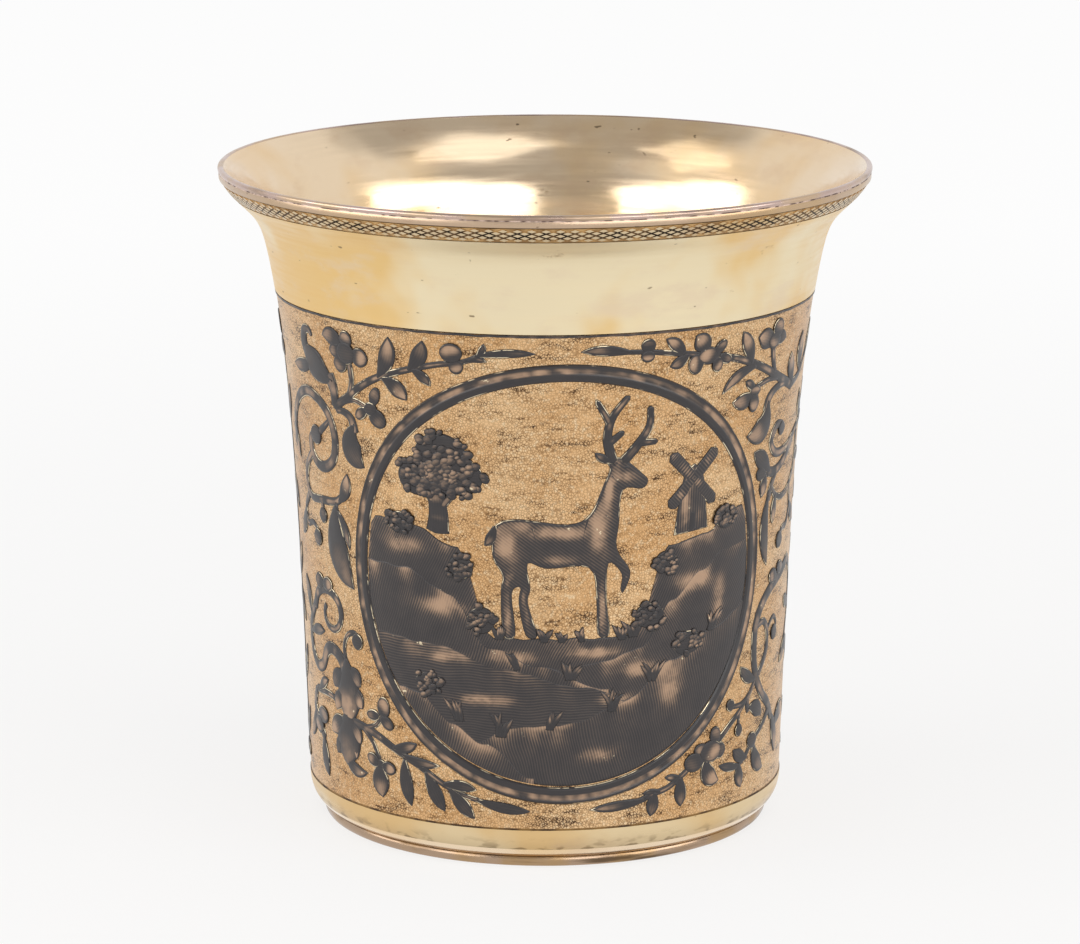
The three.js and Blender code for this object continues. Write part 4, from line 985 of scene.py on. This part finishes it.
def crestHeight(crest, s):
    for (fromS, fromZ), (toS, toZ) in zip(crest, crest[1:]):
        if s <= toS:
            return fromZ + (toZ - fromZ) * ease(fromS, toS, s)
    return crest[-1][1]


# The sum of soft worn places, each [s, z, half length, half height, share]
def wornSpots(spots, s, z):
    return sum(share * math.exp(-((s - atS) / long) ** 2 - ((z - atZ) / tall) ** 2)
               for atS, atZ, long, tall, share in spots)


def makeLand(side):
    bm, layers = newFill()
    gap = medallion["frame"] + medallion["spacing"] / 2
    halfWidth, halfHeight = medallion["halfWidth"] - gap, medallion["halfHeight"] - gap
    centre = medallion["centre"]
    for level, bank in enumerate(land[side]):
        crest = bank["crest"]
        first = max(crest[0][0], centre - halfWidth * land["reach"])
        last = min(crest[-1][0], centre + halfWidth * land["reach"])
        grid = bmesh.ops.create_grid(bm, x_segments=land["columns"], y_segments=land["rows"], size=1)
        for vert in grid["verts"]:
            s = first + (last - first) * (vert.co.x + 1) / 2
            rim = halfHeight * math.sqrt(1 - ((s - centre) / halfWidth) ** 2)
            low = medallion["middle"] - rim
            rough = land["roughness"] * noise.noise(Vector((s * 0.5, level * 3.1, 0)))
            high = min(medallion["middle"] + rim, crestHeight(crest, s) + rough)
            high = max(low + land["leastHeight"], high)
            depth = (high - low) * ((1 - vert.co.y) / 2) ** land["crowding"]
            z = high - depth
            wave = land["strokeWave"] * noise.noise(Vector((s * 0.3, z * 0.3, level)))
            hatch = z + wave if bank["lean"] is None else s - bank["lean"] * z + wave
            lit = math.exp(-depth / land["litDepth"]) * toneAt(s * 0.45, level * 7.7, *land["crestWear"])
            spots = land["spotWear"] * wornSpots(land["worn"][side], s, z)
            setMarks(vert, layers, inset=land["edge"] + depth, hatch=hatch, comb=land["comb"],
                     glow=bank["worn"] * lit + spots + land["leastWear"])
            vert.co = onWall(s, z, fillRise(depth + land["edgeRise"], 0) + land["layerLift"] * level, side)
    addGrowth(bm, layers, side)
    addFill(side + "_land", bm)


# Figures in the picture are filled outlines, with stems for antlers, sails and trunks
figures = {
    "stag": {
        "outline": [[-8.7, 40.8], [-7.8, 42.1], [-5.4, 42.5], [0, 41.9], [2.5, 43], [4.1, 46.6],
                    [4.7, 48.5], [3.6, 49.7], [5.5, 49.7], [6.6, 49.3], [8.7, 47.5], [9.4, 46.6],
                    [8.7, 45.7], [6.4, 45.7], [6, 41.9], [5.8, 38.7], [7.5, 35.9], [6.7, 33.5],
                    [6.3, 33.9], [6.4, 35.7], [4.8, 37], [4.7, 32.4], [5.1, 28.6], [3.6, 28.6],
                    [3.4, 32.7], [2.5, 36.6], [-2.4, 36.6], [-4.6, 37.2], [-4.3, 34.3], [-4.6, 32.4],
                    [-3.5, 28.6], [-4.9, 28.6], [-5.7, 32.4], [-5.5, 34.3], [-6.5, 33.5], [-6.1, 28.6],
                    [-7.6, 28.6], [-7.8, 33.8], [-7.6, 35.7], [-8.7, 37.8]],
        "stems": [
            [[[5.2, 48.9], [4.4, 51.7], [4.9, 54.4], [6.8, 56.9]], 1, 0.6],
            [[[4.4, 51.2], [6.3, 52.7]], 0.8, 0.5], [[[4.7, 53.6], [3, 56.6]], 0.8, 0.5],
            [[[6.2, 49], [7.9, 50.9], [9.3, 53.1], [9.3, 55.5]], 1, 0.6],
            [[[8.2, 51.2], [10.4, 51.2]], 0.8, 0.5],
        ],
        "leaves": [[5, 49.2, 3, 50.3, 0.8, 0.2], [-8.4, 41.6, -9.7, 39.2, 1, 0.3]],
        "lines": [
            [[[-4.2, 41.6], [-3.7, 39.6], [-4.5, 37.4]], 0.3, 0.2],
            [[[2.3, 42.4], [1.8, 39.8], [2.8, 37]], 0.3, 0.2],
            [[[4.9, 47.6], [6, 46.5], [7.4, 46.5]], 0.25, 0.15],
            [[[6.4, 48.3], [6.7, 48.4], [7, 48.3]], 0.4, 0.3],
            [[[-8, 40.6], [-6.4, 41.2], [-4.6, 40.9]], 0.2, 0.15],
        ],
        "worn": [[-6.7, 39.2, 1.1, 2, 0.9], [-1.6, 40.7, 3, 0.6, 0.8], [3.7, 40.4, 1, 2.4, 0.9],
                 [4.8, 45, 0.6, 2.2, 0.9], [6.6, 47.2, 1.2, 0.6, 0.9], [4.2, 32, 0.35, 3, 0.8],
                 [-6.9, 31.4, 0.35, 2.6, 0.8], [-4.6, 31.2, 0.35, 2.4, 0.6], [-1, 37.6, 2.6, 0.5, 0.5]],
        "soft": True, "hatch": (0.6, 0.8), "comb": 0.5,
    },
    "windmill": {
        "outline": [[12.9, 39.6], [13.8, 45.6], [14.2, 47.2], [15.4, 48], [16.6, 47.2], [17, 45.6],
                    [17.8, 40]],
        "stems": [[[[12.2, 43], [15.4, 46.2], [18.6, 49.4]], 1.2, 1.2],
                  [[[18.6, 43], [15.4, 46.2], [12.2, 49.4]], 1.2, 1.2]],
        "leaves": [],
        "lines": [[[[15.4, 40], [15.4, 41.6], [15.4, 42.2]], 0.9, 0.8]],
        "worn": [[14.4, 43, 0.5, 2.4, 0.9], [16.4, 41.4, 0.5, 1, 0.6]],
        "soft": False, "hatch": (1, 0), "comb": 0.6, "bars": 9,
    },
    "cottage": {
        "outline": [[-8.6, 40.6], [-8.6, 45], [-10, 45], [-6.4, 49.2], [-1.4, 49.2], [-1.4, 50.6],
                    [-0.2, 50.6], [-0.2, 48.6], [3, 45], [1.6, 45], [1.6, 38.4], [-3, 38.9]],
        "stems": [], "leaves": [],
        "lines": [[[[-5, 40.4], [-5, 42.4], [-5, 43.4]], 1.2, 1.2], [[[-0.8, 41.6], [-0.8, 43.2]], 1, 1],
                  [[[-9.6, 45], [-3.4, 44.9], [2.6, 45]], 0.35, 0.35]],
        "worn": [[-4.4, 47.4, 3.4, 0.8, 0.9], [-7.4, 42.6, 0.7, 1.6, 0.7], [0.6, 43, 0.6, 1.8, 0.6]],
        "soft": False, "hatch": (1, 0), "comb": 0.6,
    },
    "cell": 0.45, "rim": 0.14, "stemLift": 0.03, "lineLift": 0.045,
    "lightFrom": (-0.55, 0.8), "lightShare": 0.5, "litFacing": (0.1, 0.9), "litStart": (0.1, 0.5),
    "litEnd": (0.8, 2.2), "wear": (0.7, 1.1), "wearScale": 0.7, "leastWear": 0.15,
}


# The step to a point from the nearest place on an outline
def edgeStep(point, outline):
    nearest = None
    for a, b in zip(outline, outline[1:] + outline[:1]):
        span = b - a
        t = min(1, max(0, (point - a).dot(span) / span.length_squared))
        step = point - (a + span * t)
        if nearest is None or step.length < nearest.length:
            nearest = step
    return nearest


def makeFigure(side, name):
    figure = figures[name]
    corners = [Vector(point) for point in figure["outline"]]
    outline = corners
    if figure["soft"]:
        ring = corners[-1:] + corners + corners[:2]
        outline = []
        for i in range(len(corners)):
            four = [list(p) for p in ring[i:i + 4]]
            outline += [splinePlace(four, (1 + t) / 3) for t in (0, 0.25, 0.5, 0.75)]
    bm, layers = newFill()
    loop = [bm.verts.new((p.x, p.y, 0)) for p in outline]
    edges = [bm.edges.new(pair) for pair in zip(loop, loop[1:] + loop[:1])]
    bmesh.ops.triangle_fill(bm, use_beauty=True, edges=edges, normal=(0, 0, 1))
    bmesh.ops.inset_region(bm, faces=bm.faces[:], thickness=figures["rim"], use_boundary=True,
                           use_even_offset=True)
    for axis in (0, 1):
        low = min(p[axis] for p in outline)
        high = max(p[axis] for p in outline)
        for cut in spread(low, high, int((high - low) / figures["cell"]))[1:-1]:
            direction = Vector((1 - axis, axis, 0))
            bmesh.ops.bisect_plane(bm, geom=bm.verts[:] + bm.edges[:] + bm.faces[:], dist=1e-5,
                                   plane_co=direction * cut, plane_no=direction)
    bmesh.ops.recalc_face_normals(bm, faces=bm.faces[:])
    for vert in bm.verts:
        point = vert.co.xy
        step = edgeStep(point, outline)
        inset = step.length
        facing = -step.normalized().dot(Vector(figures["lightFrom"])) if inset > 1e-4 else 0
        nearEdge = ease(*figures["litStart"], inset) * (1 - ease(*figures["litEnd"], inset))
        lit = figures["lightShare"] * ease(*figures["litFacing"], facing) * nearEdge
        lit += wornSpots(figure["worn"], point.x, point.y)
        tone = toneAt(*(point * figures["wearScale"]), *figures["wear"])
        setMarks(vert, layers, inset=inset, hatch=Vector(figure["hatch"]).dot(point), comb=figure["comb"],
                 glow=lit * tone + figures["leastWear"])
        vert.co = onWall(point.x, point.y, fillRise(inset, 1), side)
    for stem in figure["stems"]:
        addStem(bm, layers, side, stem, lift=figures["stemLift"], bars=figure.get("bars", 0))
    for leaf in figure["leaves"]:
        addLeaf(bm, layers, side, leaf, figures["stemLift"])
    for stem in figure["lines"]:
        addStem(bm, layers, side, stem, lift=figures["lineLift"], tone=0, cut=False)
    addFill(f"{side}_{name}", bm)


# Oak: a trunk with boughs under a dark crown that is set all over with small leaf masses
oak = {
    "stems": [[[[-15.4, 40.2], [-15.2, 42.6], [-15.6, 46]], 2.4, 1.4],
              [[[-15.4, 43.4], [-16.6, 45], [-18, 46]], 0.9, 0.6],
              [[[-15.2, 43], [-13.6, 44.8], [-12.4, 46]], 0.9, 0.6]],
    "crown": [[-17.6, 46.8, 3.2, 2.6], [-12.4, 47.2, 3.2, 2.6], [-14.8, 49.6, 3.8, 3],
              [-15.2, 46.6, 3.2, 2.2]],
    "masses": 44, "massSize": (0.35, 0.65), "lift": 0.09, "seed": 4,
}


def makeOak(side):
    bm, layers = newFill()
    draw = random.Random(oak["seed"])
    for stem in oak["stems"]:
        addStem(bm, layers, side, stem)
    for clump in oak["crown"]:
        addMasses(bm, layers, side, draw, clump, oak["masses"], oak["massSize"], oak["lift"])
    addFill(side + "_oak", bm)


# Firs: a trunk with drooping boughs, longer towards the foot, as [s, z, height, width]
firs = {"trees": [[12.4, 38.9, 11.4, 7], [16.8, 39.9, 8, 5.4], [8.4, 38.2, 7.4, 4.8]], "tiers": 9,
        "trunkTop": 0.96, "trunkShare": 0.14, "trunkTip": 0.3, "lowest": 0.22, "tierSpan": 0.72,
        "droop": 0.1, "topReach": 0.3, "boughWidth": 1.1, "boughBow": 0.15, "lift": 0.02, "liftStep": 0.006}


def makeFirs(side):
    bm, layers = newFill()
    for s, z, height, width in firs["trees"]:
        trunk = [[s, z], [s, z + height / 2], [s, z + height * firs["trunkTop"]]]
        addStem(bm, layers, side, [trunk, width * firs["trunkShare"], firs["trunkTip"]])
        for tier in range(firs["tiers"]):
            share = tier / firs["tiers"]
            high = z + height * (firs["lowest"] + firs["tierSpan"] * share)
            reach = width / 2 * (1 - share) + firs["topReach"]
            lift = firs["lift"] + firs["liftStep"] * (firs["tiers"] - tier)
            for hand in (-1, 1):
                bough = [s, high, s + hand * reach, high - height * firs["droop"], firs["boughWidth"],
                         -firs["boughBow"] * hand]
                addLeaf(bm, layers, side, bough, lift)
    addFill(side + "_firs", bm)


makeSprays()
makeStalks()
makeBorderLine()
for face in ("front", "back"):
    makeFrame(face)
    makeLand(face)
makeOak("front")
makeFigure("front", "stag")
makeFigure("front", "windmill")
makeFigure("back", "cottage")
makeFirs("back")
print("niello made")


# Studio: a pale floor, a white surround, two softboxes and two cards
studio = {
    "floorSize": 6, "glow": (0.74, 0.93), "glowReach": (0.08, 0.45), "surround": 0.95, "dim": 0.5,
    "lamps": {
        "right_softbox": {"azimuth": 39, "elevation": 19, "distance": 0.9, "size": (1.35, 0.38),
                          "watts": 4.4},
        "left_softbox": {"azimuth": -71, "elevation": 19, "distance": 0.9, "size": (1.1, 0.38),
                         "watts": 3.6},
        "right_card": {"azimuth": 43, "elevation": 66, "distance": 1, "size": (0.55, 0.55), "watts": 0.9},
        "left_card": {"azimuth": -90, "elevation": 52, "distance": 1, "size": (0.4, 0.4), "watts": 0.42},
    },
}
white = (1, 1, 1, 1)

# Camera: the photograph's view, a long lens a little above the rim and five degrees to the left
camera = {"lens": 155.2, "sensor": 36, "distance": 0.5623, "azimuth": -5, "elevation": 12.88,
          "aim": (0, 0, 0.04), "frame": (1080, 944), "aimPixel": (545, 482.2)}


def makeFloor():
    bm = bmesh.new()
    bmesh.ops.create_grid(bm, x_segments=1, y_segments=1, size=studio["floorSize"] / 2)
    mesh = bpy.data.meshes.new("floor")
    bm.to_mesh(mesh)
    bm.free()
    floor = bpy.data.objects.new("floor", mesh)
    bpy.context.scene.collection.objects.link(floor)
    paper = bpy.data.materials.new("white_paper")    # seamless paper: matt, and white to the camera
    paper.use_nodes = True
    tree = paper.node_tree
    tree.nodes.remove(tree.nodes["Principled BSDF"])
    matt = addNode(tree, "BsdfDiffuse", hexColour("#e6e4e2"))
    shining = addNode(tree, "Emission", white, 1)
    reach = addNode(tree, "VectorMath", addNode(tree, "TexCoord", out="Object"), operation="LENGTH")
    glow = addNode(tree, "MapRange", reach, *studio["glowReach"], *studio["glow"], **smooth)
    direct, through, glossy = (addNode(tree, "LightPath", out=ray)
                               for ray in ("Is Camera Ray", "Is Transmission Ray", "Is Glossy Ray"))
    seen = addNode(tree, "Math", direct, through, operation="MAXIMUM")
    seen = addNode(tree, "Math", seen, glow, **times)
    share = addNode(tree, "Math", seen, glossy, operation="MAXIMUM")
    surface = addNode(tree, "MixShader", share, matt, shining)
    tree.links.new(surface, tree.nodes["Material Output"].inputs["Surface"])
    mesh.materials.append(paper)


# The room is white, but dim on the camera's side above the table, which the inside of the cup reflects
def makeRoom():
    world = bpy.data.worlds.new("white_room")
    bpy.context.scene.world = world
    world.use_nodes = True
    tree = world.node_tree
    tree.nodes.remove(tree.nodes["Background"])
    way = addNode(tree, "TexCoord", out="Generated")
    depth, height = (addNode(tree, "SeparateXYZ", way, out=axis) for axis in "YZ")
    towards = addNode(tree, "MapRange", depth, -0.75, -0.2, 1, 0, **smooth)
    overhead = addNode(tree, "MapRange", height, 0.65, 0.85, **smooth)
    above = addNode(tree, "MapRange", height, 0.1, 0.3, **smooth)
    dim = addNode(tree, "Math", towards, overhead, operation="MAXIMUM")
    dim = addNode(tree, "Math", dim, above, **times)
    level = addNode(tree, "MapRange", dim, 0, 1, studio["surround"], studio["dim"], **smooth)
    light = addNode(tree, "Background", white, level)
    backdrop = addNode(tree, "Background", white, 1)
    room = addNode(tree, "MixShader", addNode(tree, "LightPath", out="Is Camera Ray"), light, backdrop)
    tree.links.new(room, tree.nodes["World Output"].inputs["Surface"])


# A lamp or the camera on a sphere about the beaker's middle, turned to face it. Azimuth 0 is towards the
# viewer and positive to the right.
def placeFacing(name, data, setting):
    around, up = math.radians(setting["azimuth"]), math.radians(setting["elevation"])
    step = Vector((math.sin(around) * math.cos(up), -math.cos(around) * math.cos(up), math.sin(up)))
    aim = Vector(camera["aim"])
    holder = bpy.data.objects.new(name, data)
    holder.location = aim + step * setting["distance"]
    holder.rotation_euler = (aim - holder.location).to_track_quat("-Z", "Y").to_euler()
    bpy.context.scene.collection.objects.link(holder)
    return holder


def makeLamps():
    for name, lamp in studio["lamps"].items():
        light = bpy.data.lights.new(name, "AREA")
        light.shape = "RECTANGLE"
        light.size, light.size_y = lamp["size"]
        light.energy = lamp["watts"]
        placeFacing(name, light, lamp)


def makeCamera():
    width, height = camera["frame"]
    lens = bpy.data.cameras.new("camera")
    lens.lens = camera["lens"]
    lens.sensor_width = camera["sensor"]
    lens.shift_x = -(camera["aimPixel"][0] - width / 2) / width
    lens.shift_y = (camera["aimPixel"][1] - height / 2) / width
    bpy.context.scene.camera = placeFacing("camera", lens, camera)


makeFloor()
makeRoom()
makeLamps()
makeCamera()
bpy.context.scene.view_settings.view_transform = "Standard"
print("studio made")
